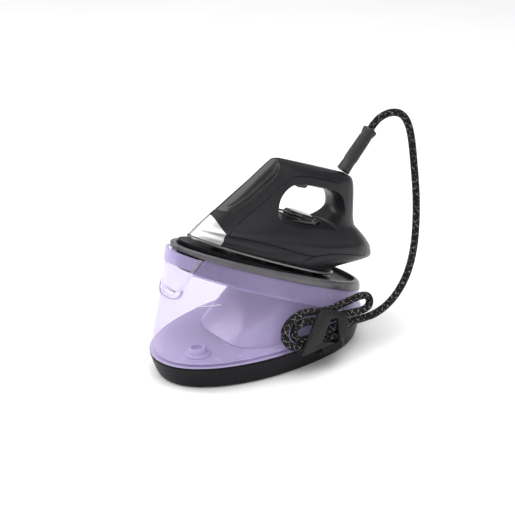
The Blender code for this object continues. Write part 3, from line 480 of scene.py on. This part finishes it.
def make_lights():
    """A world that brightens upwards, and the studio's lights."""
    world = bpy.data.worlds.new("studio")
    world.use_nodes = True
    nodes, links = world.node_tree.nodes, world.node_tree.links
    place = nodes.new("ShaderNodeTexCoord")
    parts = nodes.new("ShaderNodeSeparateXYZ")
    links.new(place.outputs["Generated"], parts.inputs[0])
    background = nodes["Background"]
    links.new(ramp(nodes, links, parts.outputs[2], 0.10, 0.95, 0.05, 0.95), background.inputs["Strength"])
    set_inputs(background, Color=(1, 1, 1, 1))
    bpy.context.scene.world = world
    for light in LIGHTS:
        area_light(*light)
    bpy.context.scene.view_settings.view_transform = "Standard"


# Mesh builders.

def outline_point(shape, turn, inset):
    """The point of a shape's outline at a turn, which starts at +X."""
    across, along = math.cos(turn), math.sin(turn)
    reach, power = (shape["front"], shape["nose"]) if along < 0 else (shape["rear"], shape["tail"])
    x = (shape["half_width"] - inset) * math.copysign(abs(across) ** (2 / power), across)
    y = shape["centre"] + (reach - inset) * math.copysign(abs(along) ** (2 / power), along)
    return x, y


def outline(shape, inset=0.0, count=SIDES):
    """Points round a superellipse with its own power at the nose and at the tail."""
    return [outline_point(shape, math.tau * step / count, inset) for step in range(count)]


def level(points, height):
    """An outline at a height, which is a number or a function of y."""
    if callable(height):
        return [(x, y, height(y)) for x, y in points]
    return [(x, y, height) for x, y in points]


def scaled(shape, factor):
    return {key: value * factor if key in ("front", "rear", "half_width") else value
            for key, value in shape.items()}


def wall_shape(share):
    """The tank wall's outline at a share of the way from the seam up to the rest."""
    mix = share ** 1.35
    return {key: BASE[key] * (1 - mix) + REST[key] * mix for key in BASE}


def wall_point(turn, height, inset):
    """The point of the tank's wall at a turn and a height, which may change along y."""
    share = 0.5
    for _ in range(8):
        x, y = outline_point(wall_shape(share), turn, inset)
        z = height(y)
        share = max(0.0, (z - SEAM_Z) / (rest_plane(y) - SEAM_Z))
    return x, y, z


def wall_ring(height, inset):
    return [wall_point(math.tau * step / SIDES, height, inset) for step in range(SIDES)]


def front_y(shape, x):
    """Where a shape's front half lies at an x."""
    power = shape["nose"]
    return shape["centre"] - shape["front"] * (1 - abs(x / shape["half_width"]) ** power) ** (1 / power)


def mesh_object(name, points, faces):
    """An object from points and faces, with its faces turned outwards."""
    mesh = bpy.data.meshes.new(name)
    mesh.from_pydata([tuple(point) for point in points], [], faces)
    build = bmesh.new()
    build.from_mesh(mesh)
    bmesh.ops.recalc_face_normals(build, faces=build.faces)
    build.to_mesh(mesh)
    build.free()
    item = bpy.data.objects.new(name, mesh)
    bpy.context.scene.collection.objects.link(item)
    return item


def loft(name, rings, closed_loop=False):
    """A solid through rings of equally many points, with flat ends unless it closes on itself."""
    count = len(rings[0])
    last = len(rings)
    spans = [(row, row + 1) for row in range(last - 1)]
    if closed_loop:
        spans.append((last - 1, 0))
    faces = []
    for low, high in spans:
        for i in range(count):
            j = (i + 1) % count
            faces.append((low * count + i, low * count + j, high * count + j, high * count + i))
    if not closed_loop:
        faces.append(tuple(range(count)))
        faces.append(tuple(range((last - 1) * count, last * count)))
    return mesh_object(name, [point for ring in rings for point in ring], faces)


def prism(name, points, low_x, high_x, high_points=None):
    """An outline in the YZ plane, thick along X. It may change between its two ends."""
    count = len(points)
    rings = [(low_x, y, z) for y, z in points] + [(high_x, y, z) for y, z in high_points or points]
    faces = [tuple(range(count)), tuple(range(count, 2 * count))]
    faces += [(i, (i + 1) % count, count + (i + 1) % count, count + i) for i in range(count)]
    return mesh_object(name, rings, faces)


def catmull(a, b, c, d, t):
    """The smooth curve from b to c, with a and d as the neighbours."""
    return 0.5 * (2 * b + (c - a) * t + (2 * a - 5 * b + 4 * c - d) * t * t
                  + (3 * b - a - 3 * c + d) * t ** 3)


def smooth_line(points, steps):
    """Points on a smooth open curve, a number of steps for each span."""
    ends = [2 * points[0] - points[1], *points, 2 * points[-1] - points[-2]]
    spans = zip(ends, ends[1:], ends[2:], ends[3:])
    return [catmull(*span, step / steps) for span in spans for step in range(steps)] + [points[-1]]


def rounded(points, steps=6):
    """A closed smooth outline through the points."""
    result = []
    count = len(points)
    for i in range(count):
        a, b, c, d = (Vector(points[(i + shift) % count]) for shift in (-1, 0, 1, 2))
        result += [tuple(catmull(a, b, c, d, step / steps)) for step in range(steps)]
    return result


def soft_corners(points, radius, steps=4):
    """A closed outline whose corners are rounded off within a radius."""
    result = []
    count = len(points)
    for i in range(count):
        before, here, after = (Vector(points[(i + shift) % count]) for shift in (-1, 0, 1))
        first = here + (before - here).normalized() * min(radius, (before - here).length * 0.45)
        last = here + (after - here).normalized() * min(radius, (after - here).length * 0.45)
        for step in range(steps + 1):
            t = step / steps
            result.append(tuple(first * (1 - t) ** 2 + here * 2 * t * (1 - t) + last * t * t))
    return result


def even_points(route, spacing):
    """Evenly spaced points on a smooth curve through the route's points, and the curve's length."""
    fine = smooth_line(route, 24)
    travelled = [0.0]
    for a, b in zip(fine, fine[1:]):
        travelled.append(travelled[-1] + (b - a).length)
    count = max(2, round(travelled[-1] / spacing))
    result = []
    at = 0
    for step in range(count + 1):
        target = travelled[-1] * step / count
        while at < len(fine) - 2 and travelled[at + 1] < target:
            at += 1
        share = (target - travelled[at]) / (travelled[at + 1] - travelled[at])
        result.append(fine[at].lerp(fine[at + 1], share))
    return result, travelled[-1]


def turned(name, profile, steps=64):
    """A turned solid on Z from (radius, height) points; the first and last lie on the axis."""
    points = [(0.0, 0.0, profile[0][1])]
    rings = profile[1:-1]
    turns = [math.tau * i / steps for i in range(steps)]
    for radius, height in rings:
        points += [(radius * math.cos(turn), radius * math.sin(turn), height) for turn in turns]
    points.append((0.0, 0.0, profile[-1][1]))
    faces = [(0, 1 + i, 1 + (i + 1) % steps) for i in range(steps)]
    for row in range(len(rings) - 1):
        low, high = 1 + row * steps, 1 + (row + 1) * steps
        faces += [(low + i, low + (i + 1) % steps, high + (i + 1) % steps, high + i)
                  for i in range(steps)]
    base = 1 + (len(rings) - 1) * steps
    faces += [(len(points) - 1, base + (i + 1) % steps, base + i) for i in range(steps)]
    return mesh_object(name, points, faces)


def apply_modifiers(item):
    bpy.context.view_layer.update()
    mesh = bpy.data.meshes.new_from_object(item.evaluated_get(bpy.context.evaluated_depsgraph_get()))
    item.modifiers.clear()
    item.data = mesh


def boolean(item, other, operation="DIFFERENCE"):
    """Cuts, joins or keeps the overlap with another object, which is then removed."""
    step = item.modifiers.new("shape", "BOOLEAN")
    step.operation = operation
    step.solver = "EXACT"
    step.object = other
    apply_modifiers(item)
    bpy.data.objects.remove(other, do_unlink=True)


def show(item, material, body, *nodes, sharp=32, place=None):
    """Finishes a piece: its material, smooth shading, the CAD nodes it stands for, and its body."""
    if place is not None:
        item.data.transform(place)
    item.data.materials.clear()
    item.data.materials.append(MATERIAL[material])
    item.data.shade_smooth()
    item.data.set_sharp_from_angle(angle=math.radians(sharp))
    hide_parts(*nodes)
    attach(item, body)


# The base.

def make_tray():
    """The black tray: its foot, its flared side, a groove under the top edge, and its inside."""
    rings = [level(outline(scaled(BASE, factor)), z) for factor, z in TRAY_FOOT]
    side_factor, side_z = TRAY_FOOT[-1]
    for share in (0.1, 0.3, 0.5, 0.7, 0.88):
        factor = side_factor + TRAY_FLARE * share ** 0.85
        rings.append(level(outline(scaled(BASE, factor)), side_z + (TRAY_TOP_Z - side_z) * share))
    rings += [level(outline(BASE, inset), SEAM_Z - drop) for inset, drop in (
        (0.0004, 0.0022), (0.0010, 0.0019), (0.0010, 0.0012), (0.0002, 0.0009), (0.0003, 0.0003),
        (0.0030, 0.0003))]
    rings.append(level(outline(scaled(BASE, 0.915)), 0.0040))
    tray = loft("base_tray_shell", rings)
    boolean(tray, prism("pocket", SWITCH_POCKET, -SWITCH_POCKET_X, SWITCH_POCKET_X))
    show(tray, "base_black", "base", "base_tray")


def flap_patch(name, rows, grow, outward, inward, lip=0.0, inner_lip=None):
    """A closed slice of the tank's nose between two depths, from (share, half width) rows.

    The lips are how far its outer and inner faces lean out at the top; inner_lip is lip by default.
    """
    across = [2 * step / FLAP_COLUMNS - 1 for step in range(FLAP_COLUMNS + 1)]
    points = []
    for depth, lean in ((outward, lip), (inward, lip if inner_lip is None else inner_lip)):
        for share, half in rows:
            shape = wall_shape(min(share, 1.0))
            for column in across:
                x = column * (half + grow)
                y = front_y(shape, x) + depth - lean * max(0.0, (share - FLAP_STRAIGHT) / FLAP_LIP_HEIGHT)
                points.append((x, y, SEAM_Z + share * (rest_plane(y) - SEAM_Z)))
    wide, deep = len(across), len(rows)
    count = wide * deep
    faces = []
    for row in range(deep - 1):
        for column in range(wide - 1):
            a = row * wide + column
            quad = (a, a + 1, a + wide + 1, a + wide)
            faces.append(quad)
            faces.append(tuple(count + i for i in reversed(quad)))
    border = list(range(wide)) + [row * wide + wide - 1 for row in range(1, deep)]
    border += [(deep - 1) * wide + i for i in range(wide - 2, -1, -1)]
    border += [row * wide for row in range(deep - 2, 0, -1)]
    for a, b in zip(border, border[1:] + border[:1]):
        faces.append((a, b, count + b, count + a))
    return mesh_object(name, points, faces)


def flap_rows():
    """The flap's rows, with two smooth ones in each gap."""
    ends = [Vector(row) for row in (FLAP_ROWS[0], *FLAP_ROWS, FLAP_ROWS[-1])]
    result = []
    for span in zip(ends, ends[1:], ends[2:], ends[3:]):
        result += [tuple(catmull(*span, step / 3)) for step in range(3)]
    return result + [FLAP_ROWS[-1]]


def wall_strip(name, turns, heights):
    """A thin printed line on the tank wall, along some turns and between two heights."""
    points = []
    for inset in MARK_INSETS:
        for z in heights:
            points += [wall_point(turn, lambda y, z=z: z, inset) for turn in turns]
    wide = len(turns)
    faces = []
    for i in range(wide - 1):
        for a, b in ((0, wide), (wide, 3 * wide), (3 * wide, 2 * wide), (2 * wide, 0)):
            faces.append((a + i, a + i + 1, b + i + 1, b + i))
    faces += [(0, wide, 3 * wide, 2 * wide), (wide - 1, 2 * wide - 1, 4 * wide - 1, 3 * wide - 1)]
    return mesh_object(name, points, faces)


def make_outlet():
    """The tank's outlet valve: a raised ring round a sunken middle."""
    profile = [(radius, TANK_FLOOR_Z + rise) for radius, rise in (
        (0.0, 0.0040), (0.0060, 0.0040), (0.0066, 0.0046), (0.0070, 0.0084), (0.0078, 0.0090),
        (0.0104, 0.0090), (0.0112, 0.0084), (0.0118, 0.0068), (0.0122, 0.0030), (0.0150, 0.0022),
        (0.0175, 0.0018), (0.0175, 0.0003), (0.0076, 0.0003))]
    valve = turned("tank_outlet_ring", [*profile, (0.0076, 0.0235), (0.0, 0.0235)])
    show(valve, "lilac_housing", "base", "tank_outlet_valve", place=Matrix.Translation(OUTLET_PLACE))


def make_tank():
    """The tank's flange and wall, with the flap's opening and the housing's hole in its floor."""
    def clear_height(part):
        return lambda y: SEAM_Z + 0.0050 + part * (skirt_foot(y) - SEAM_Z - 0.0050)

    def band_height(part):
        return lambda y: skirt_foot(y) + part * (rest_plane(y) - 0.0003 - skirt_foot(y))

    heights = [clear_height(step / 12) for step in range(1, 13)]
    heights += [band_height(part) for part in (0.25, 0.5, 0.75, 1.0)]
    rings = [level(outline(BASE, inset), z) for inset, z in (
        (0.0010, SEAM_Z), (0.0002, SEAM_Z + 0.0006), (0.0, SEAM_Z + 0.0012), (0.0, FLANGE_Z - 0.0012),
        (0.0003, FLANGE_Z - 0.0004), (0.0010, FLANGE_Z))]
    rings += [wall_ring(height, WALL_INSET) for height in heights]
    rings += [wall_ring(height, WALL_INSET + WALL_THICKNESS) for height in reversed(heights)]
    rings += [level(outline(BASE, inset=0.0060), TANK_FLOOR_Z)]
    tank = loft("water_tank_shell", rings)
    (foot_share, foot_half), *upper = flap_rows()
    opening = [(foot_share - FLAP_FOOT_ROOM, foot_half), *upper, (1.18, upper[-1][1])]
    boolean(tank, flap_patch("flap_opening", opening, FLAP_GAP, -0.020, 0.040))
    hole = loft("housing_hole", [level(outline(housing_shape(0), -0.0005), z) for z in (0.020, 0.045)])
    boolean(tank, hole)
    show(tank, "lilac_clear", "base", "water_tank")
    tank.data.materials.append(MATERIAL["lilac_housing"])
    tank.data.materials.append(MATERIAL["lilac_band"])
    # The floor takes the second material and the band above the rest's skirt the third.
    for face in tank.data.polygons:
        if face.center.z < TANK_FLOOR_Z + 0.0001 and abs(face.normal.z) > 0.7:
            face.material_index = 1
        elif face.center.z > skirt_foot(face.center.y) + 0.0002:
            face.material_index = 2
    show(wall_strip("level_mark", MARK_TURNS, MARK_Z), "print_white", "base")


def make_flap():
    """The flap with its side flanges, its darker lip, and the moulded rib under it."""
    rows = flap_rows()
    flap = flap_patch("filler_flap_panel", rows, 0.0, 0.0, 0.0026, FLAP_LIP, inner_lip=-0.0014)
    hollow = [(max(share, FLAP_STRAIGHT), half) for share, half in rows[2:]]
    hollow.append((1.12, rows[-1][1]))
    boolean(flap, flap_patch("flap_hollow", hollow, -0.0014, 0.0018, 0.0200, FLAP_LIP))
    show(flap, "lilac_flap", "flap", "filler_flap")
    lip_rows = [row for row in rows if row[0] > 0.84]
    lip = flap_patch("filler_flap_lip", lip_rows, -0.0004, -0.0016, 0.0004, FLAP_LIP)
    show(lip, "lilac_lip", "flap")
    surround = flap_patch("flap_surround", SPOUT_OUTER, 0.0, -0.0002, 0.0020)
    boolean(surround, flap_patch("surround_inner", SPOUT_INNER, 0.0, -0.0080, 0.0080))
    show(surround, "lilac_lip", "base")


def housing_shape(row):
    """The boiler housing's outline at a row, from 0 at its foot to 4 at its top."""
    low = min(int(row), 3)
    part = row - low

    def mix(values):
        return values[low] * (1 - part) + values[low + 1] * part

    return dict(front=0.010 - mix(HOUSING_NOSE_Y), rear=mix(HOUSING_TAIL_Y) - 0.010,
                half_width=mix(HOUSING_HALF_WIDTH), centre=0.010, nose=3.4, tail=2.3)


def make_housing():
    def height(row, drop):
        return lambda y: FLANGE_Z + row / 4 * (rest_plane(y) - 0.0050 - FLANGE_Z) - drop

    rows = [step / 3 for step in range(13)]
    inner = [level(outline(housing_shape(0), WALL_THICKNESS), HOUSING_FOOT_Z)]
    inner += [level(outline(housing_shape(row), WALL_THICKNESS), height(row, WALL_THICKNESS * (row == 4)))
              for row in rows]
    outer = [level(outline(housing_shape(row)), height(row, 0)) for row in reversed(rows)]
    outer += [level(outline(housing_shape(0)), HOUSING_FOOT_Z)]
    show(loft("boiler_housing_shell", outer + inner), "lilac_housing", "base", "boiler_housing")


def make_rest():
    """The grey ring as (inset, share of its height), and the black rest inside it."""
    profile = ((0.0, 0.0), (0.0, 0.45), (0.0003, 0.62), (0.0010, 0.80), (0.0020, 0.93), (0.0032, 0.985),
               (0.0044, 1.0), (0.0066, 1.0), (0.0073, 0.975), (RING_WIDTH, 0.92), (RING_WIDTH, 0.0))

    def height(share):
        return lambda y: rest_plane(y) * (1 - share) + ring_top(y) * share

    ring = loft("rest_ring_rim", [level(outline(REST, inset), height(share)) for inset, share in profile],
                closed_loop=True)
    show(ring, "dark_grey", "base", "rest_ring", sharp=40)
    skirt = RING_WIDTH + 0.0003
    rest = loft("iron_rest_tray", [
        level(outline(REST, inset=0.0115), lambda y: sole_plane(y) - 0.0045),
        level(outline(REST, inset=0.0100), lambda y: ring_top(y) - 0.0031),
        level(outline(REST, inset=0.0095), lambda y: ring_top(y) - 0.0025),
        level(outline(REST, inset=skirt + 0.0004), lambda y: ring_top(y) - 0.0026),
        level(outline(REST, inset=skirt), lambda y: ring_top(y) - 0.0032),
        level(outline(REST, inset=skirt), skirt_foot),
        level(outline(REST, inset=skirt + 0.0022), skirt_foot),
        level(outline(REST, inset=skirt + 0.0022), lambda y: rest_plane(y) - 0.0020),
    ])
    show(rest, "base_black", "base", "iron_rest")


def make_clip():
    """The leaning hook with its window, and the black foot that holds it to the tray."""
    slope = math.atan(CLIP_LEAN)
    stretch = math.cos(slope)

    def leaned(name, points, reach, middle):
        plate = prism(name, [(y, (z - CLIP_FOOT_Z) / stretch) for y, z in points], -reach, reach)
        plate.data.transform(Matrix.Rotation(-slope, 4, "Y"))
        plate.data.transform(Matrix.Translation((CLIP_FOOT_X - middle, 0, CLIP_FOOT_Z)))
        return plate

    half = CLIP_THICKNESS / 2
    clip = leaned("cord_clip_hook", soft_corners(CLIP_OUTLINE, 0.006), half, half / stretch)
    boolean(clip, leaned("window", soft_corners(CLIP_WINDOW, 0.003), 0.015, 0.0))
    edges = clip.modifiers.new("edges", "BEVEL")
    edges.width = 0.0015
    edges.segments = 4
    edges.limit_method = "ANGLE"
    edges.angle_limit = math.radians(50)
    apply_modifiers(clip)
    foot = prism("cord_clip_foot", soft_corners(CLIP_FOOT, 0.0015), *CLIP_FOOT_SPAN)
    tab = leaned("tab", soft_corners(CLIP_TAB, 0.0015), half - 0.0006, half / stretch)
    boolean(foot, tab, "UNION")
    show(foot, "base_black", "base", sharp=40)
    show(clip, "clip_grey", "base", "cord_clip", sharp=40)


# The iron.

def shell_row(position):
    """The shell's level at a position between rows, smooth from row to row."""
    low = min(int(position), len(SHELL_LEVELS) - 2)
    part = position - low
    last = len(SHELL_LEVELS) - 1
    rows = [SHELL_LEVELS[min(max(low + shift, 0), last)] for shift in (-1, 0, 1, 2)]
    return [catmull(*values, part) for values in zip(*rows)]


def shell_height(start, rise):
    """A level's height, which dips over the heel."""
    return lambda y: start + rise * y - HEEL_DIP * rise * max(0.0, y - HEEL_Y) ** 2


def shell_shape(front, rear, half, nose, tail):
    centre = front + WIDEST_SHARE * (rear - front)
    return dict(front=centre - front, rear=rear - centre, half_width=half, centre=centre, nose=nose,
                tail=tail)


def iron_shell(name):
    """The iron's whole outer form, closed on top by two smaller rings."""
    rings = []
    for step in range((len(SHELL_LEVELS) - 1) * SHELL_STEPS + 1):
        start, rise, *sizes = shell_row(step / SHELL_STEPS)
        rings.append(level(outline(shell_shape(*sizes), 0.0, SHELL_SIDES), shell_height(start, rise)))
    start, rise, *sizes = SHELL_LEVELS[-1]
    for inset, lift in ((0.0020, 0.0005), (0.0045, 0.0008)):
        ring = outline(shell_shape(*sizes), inset, SHELL_SIDES)
        rings.append(level(ring, lambda y, c=lift: start + rise * y + c))
    return loft(name, rings)


def shifted(points, along, up=0.0):
    return [(y + along, z + up) for y, z in points]


def groove(points):
    """A band as wide as a seam along a line in the YZ plane."""
    line = [Vector(point) for point in points]
    left, right = [], []
    for i, point in enumerate(line):
        way = (line[min(i + 1, len(line) - 1)] - line[max(i - 1, 0)]).normalized()
        side = Vector((-way.y, way.x)) * SEAM_WIDTH / 2
        left.append(tuple(point + side))
        right.append(tuple(point - side))
    return left + right[::-1]


def seam_cut(seam, side):
    """A cutter that follows surface points on one side of the iron."""
    fine = smooth_line([Vector(point) for point in seam], 3)
    edges = groove([point.yz for point in fine])
    count = len(edges)
    depths = [point.x - SEAM_DEPTH for point in fine]
    depths += depths[::-1]
    points = [(side * x, y, z) for x, (y, z) in zip(depths, edges)]
    points += [(side * (x + 0.020), y, z) for x, (y, z) in zip(depths, edges)]
    faces = []
    for i in range(count):
        j = (i + 1) % count
        faces.append((i, j, count + j, count + i))
    for i in range(count // 2 - 1):
        j = count - 1 - i
        faces += [(i, i + 1, j - 1, j), (count + i, count + i + 1, count + j - 1, count + j)]
    return mesh_object("seam_cutter", points, faces)


def make_iron():
    """The body, the three pieces cut from its form, and the soleplate."""
    body = iron_shell("iron_body_shell")
    boolean(body, prism("grip", rounded(GRIP), -0.060, 0.060))
    for side in (-1, 1):
        near, far = (side * x for x in GRIP_LIP_X)
        boolean(body, prism(f"lip_{side}", rounded(GRIP), near, far, rounded(GRIP_OUTER)))
        for seam in SEAMS:
            boolean(body, seam_cut(seam, side))
    for name, points, reach in (
            ("trigger_pocket", TRIGGER_POCKET, TRIGGER_POCKET_X),
            ("nose_cut", shifted(NOSE_TRIM, PIECE_GAP), 0.07),
            ("panel_cut", shifted(FRONT_PANEL, PIECE_GAP, -PIECE_GAP), 0.045),
            ("heel_cut", shifted(HEEL_COVER, -PIECE_GAP), 0.08)):
        boolean(body, prism(name, points, -reach, reach))
    show(body, "charcoal", "iron", "iron_body", place=IRON, sharp=38)
    for name, points, material, replaced in (
            ("nose_trim_cap", NOSE_TRIM, "brushed_silver", "nose_trim"),
            ("front_panel_cover", FRONT_PANEL, "panel_black", "front_panel"),
            ("heel_cover_cap", HEEL_COVER, "charcoal", "heel_cover")):
        piece = iron_shell(name)
        boolean(piece, prism(f"{name}_part", points, -0.085, 0.085), "INTERSECT")
        if replaced == "front_panel":
            band = groove(shifted(FRONT_PANEL[2:8], -0.0045, 0.0050))
            for low_x, high_x in ((-0.060, -0.0060), (0.0060, 0.060)):
                boolean(piece, prism("panel_groove", band, low_x, high_x))
        show(piece, material, "iron", replaced, place=IRON, sharp=38)
    plate = loft("soleplate_polished", [
        level(outline(SOLE, inset), lambda y, c=lift: c - 0.020 * y)
        for inset, lift in ((0.0020, -0.0010), (0.0008, -0.0007), (0.0, 0.0), (0.0, 0.0019),
                            (0.0006, 0.0026), (0.0020, 0.0030))])
    show(plate, "sole_steel", "iron", "soleplate", place=IRON)


def make_controls():
    """The dial with its ribbed rim, the deck plate round it, and the ribbed boot."""
    dial = turned("temperature_dial_knob", DIAL_PROFILE, steps=DIAL_SIDES)
    for vertex in dial.data.vertices:
        radius = math.hypot(vertex.co.x, vertex.co.y)
        if radius > DIAL_RIM:
            turn = math.atan2(vertex.co.y, vertex.co.x)
            shrink = 1 - DIAL_RIB_DEPTH / radius * (1 + math.cos(DIAL_RIBS * turn))
            vertex.co.x *= shrink
            vertex.co.y *= shrink
    place = IRON @ Matrix.Translation((0, *DIAL_CENTRE))
    show(dial, "gloss_black", "dial", "temperature_dial", place=place)
    deck = loft("handle_deck_plate", [level(outline(DECK, inset, 72), z) for inset, z in DECK_PROFILE])
    show(deck, "gloss_black", "iron", place=IRON)
    foot, tip = Vector((0, *BOOT_FOOT)), Vector((0, *BOOT_TIP))
    length = (tip - foot).length
    lean = math.atan2(tip.y - foot.y, tip.z - foot.z)
    profile = [(radius, length - drop) for radius, drop in BOOT_COLLAR]
    for rib in range(BOOT_RIBS):
        top = length - BOOT_FIRST_RIB - rib * BOOT_RIB_STEP
        profile += [(radius + BOOT_RIB_GROWTH * rib, top - drop) for radius, drop in BOOT_RIB]
    profile += BOOT_BASE
    boot = turned("hose_boot_ribbed", profile, steps=48)
    place = IRON @ Matrix.Translation(foot) @ Matrix.Rotation(-lean, 4, "X")
    show(boot, "rubber", "iron", "hose_boot", place=place, sharp=50)


def make_cord():
    """The cord as a tube along its route, with the braid's turns in its UV map."""
    path, length = even_points(CORD_ROUTE, CORD_STEP)
    count, radius = CORD_SIDES, CORD_DIAMETER / 2
    turns = [math.tau * j / count for j in range(count)]
    across = Vector((1, 0, 0))
    rings = []
    for i, centre in enumerate(path):
        way = (path[min(i + 1, len(path) - 1)] - path[max(i - 1, 0)]).normalized()
        across = (across - way * across.dot(way)).normalized()
        other = way.cross(across)
        rings.append([centre + radius * (across * math.cos(turn) + other * math.sin(turn))
                      for turn in turns])
    cord = loft("steam_cord_sleeve", rings)
    layer = cord.data.uv_layers.new(name="braid")
    step = length / (len(path) - 1)
    for face in cord.data.polygons:
        columns = [cord.data.loops[k].vertex_index % count for k in face.loop_indices]
        wraps = max(columns) - min(columns) > count / 2
        for k, column in zip(face.loop_indices, columns):
            row = cord.data.loops[k].vertex_index // count
            turn = column + count if wraps and column < count / 2 else column
            layer.data[k].uv = (row * step / BRAID_TURN, turn / count)
    show(cord, "braid", "base", "steam_cord", sharp=60)


# The carried-over CAD nodes by their material.
NODE_FINISH = {
    "gloss_black": ("boiler_thermostat", "steam_solenoid_valve", "switch_bezel", "power_rocker",
                    "steam_trigger", "steam_switch"),
    "rubber": ("foot_front_left", "foot_front_right", "foot_rear_left", "foot_rear_right", "pump_cradle",
               "mains_gland", "hose_gland"),
    "silicone": ("rest_pad_front", "rest_pad_rear_left", "rest_pad_rear_right", "suction_hose",
                 "delivery_hose"),
    "steel": ("boiler_lower_shell", "boiler_upper_shell", "sole_thermostat", "trigger_spring"),
    "dark_grey": ("flap_hinge_pin",),
    "copper": ("heating_element", "safety_valve"),
    "white_plastic": ("water_pump", "terminal_block"),
    "board_green": ("control_board",),
    "cast_aluminium": ("heating_casting",),
}


def finish_nodes():
    """Gives the CAD nodes that stay in view as they are a material in every slot."""
    for finish, names in NODE_FINISH.items():
        for name in names:
            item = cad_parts[name]
            if not item.data.materials:
                item.data.materials.append(MATERIAL[finish])
            for index in range(len(item.data.materials)):
                item.data.materials[index] = MATERIAL[finish]


make_camera()
make_cord()
make_tray()
make_tank()
make_outlet()
make_flap()
make_housing()
make_rest()
make_clip()
make_iron()
make_controls()
finish_nodes()
make_stage()
make_lights()
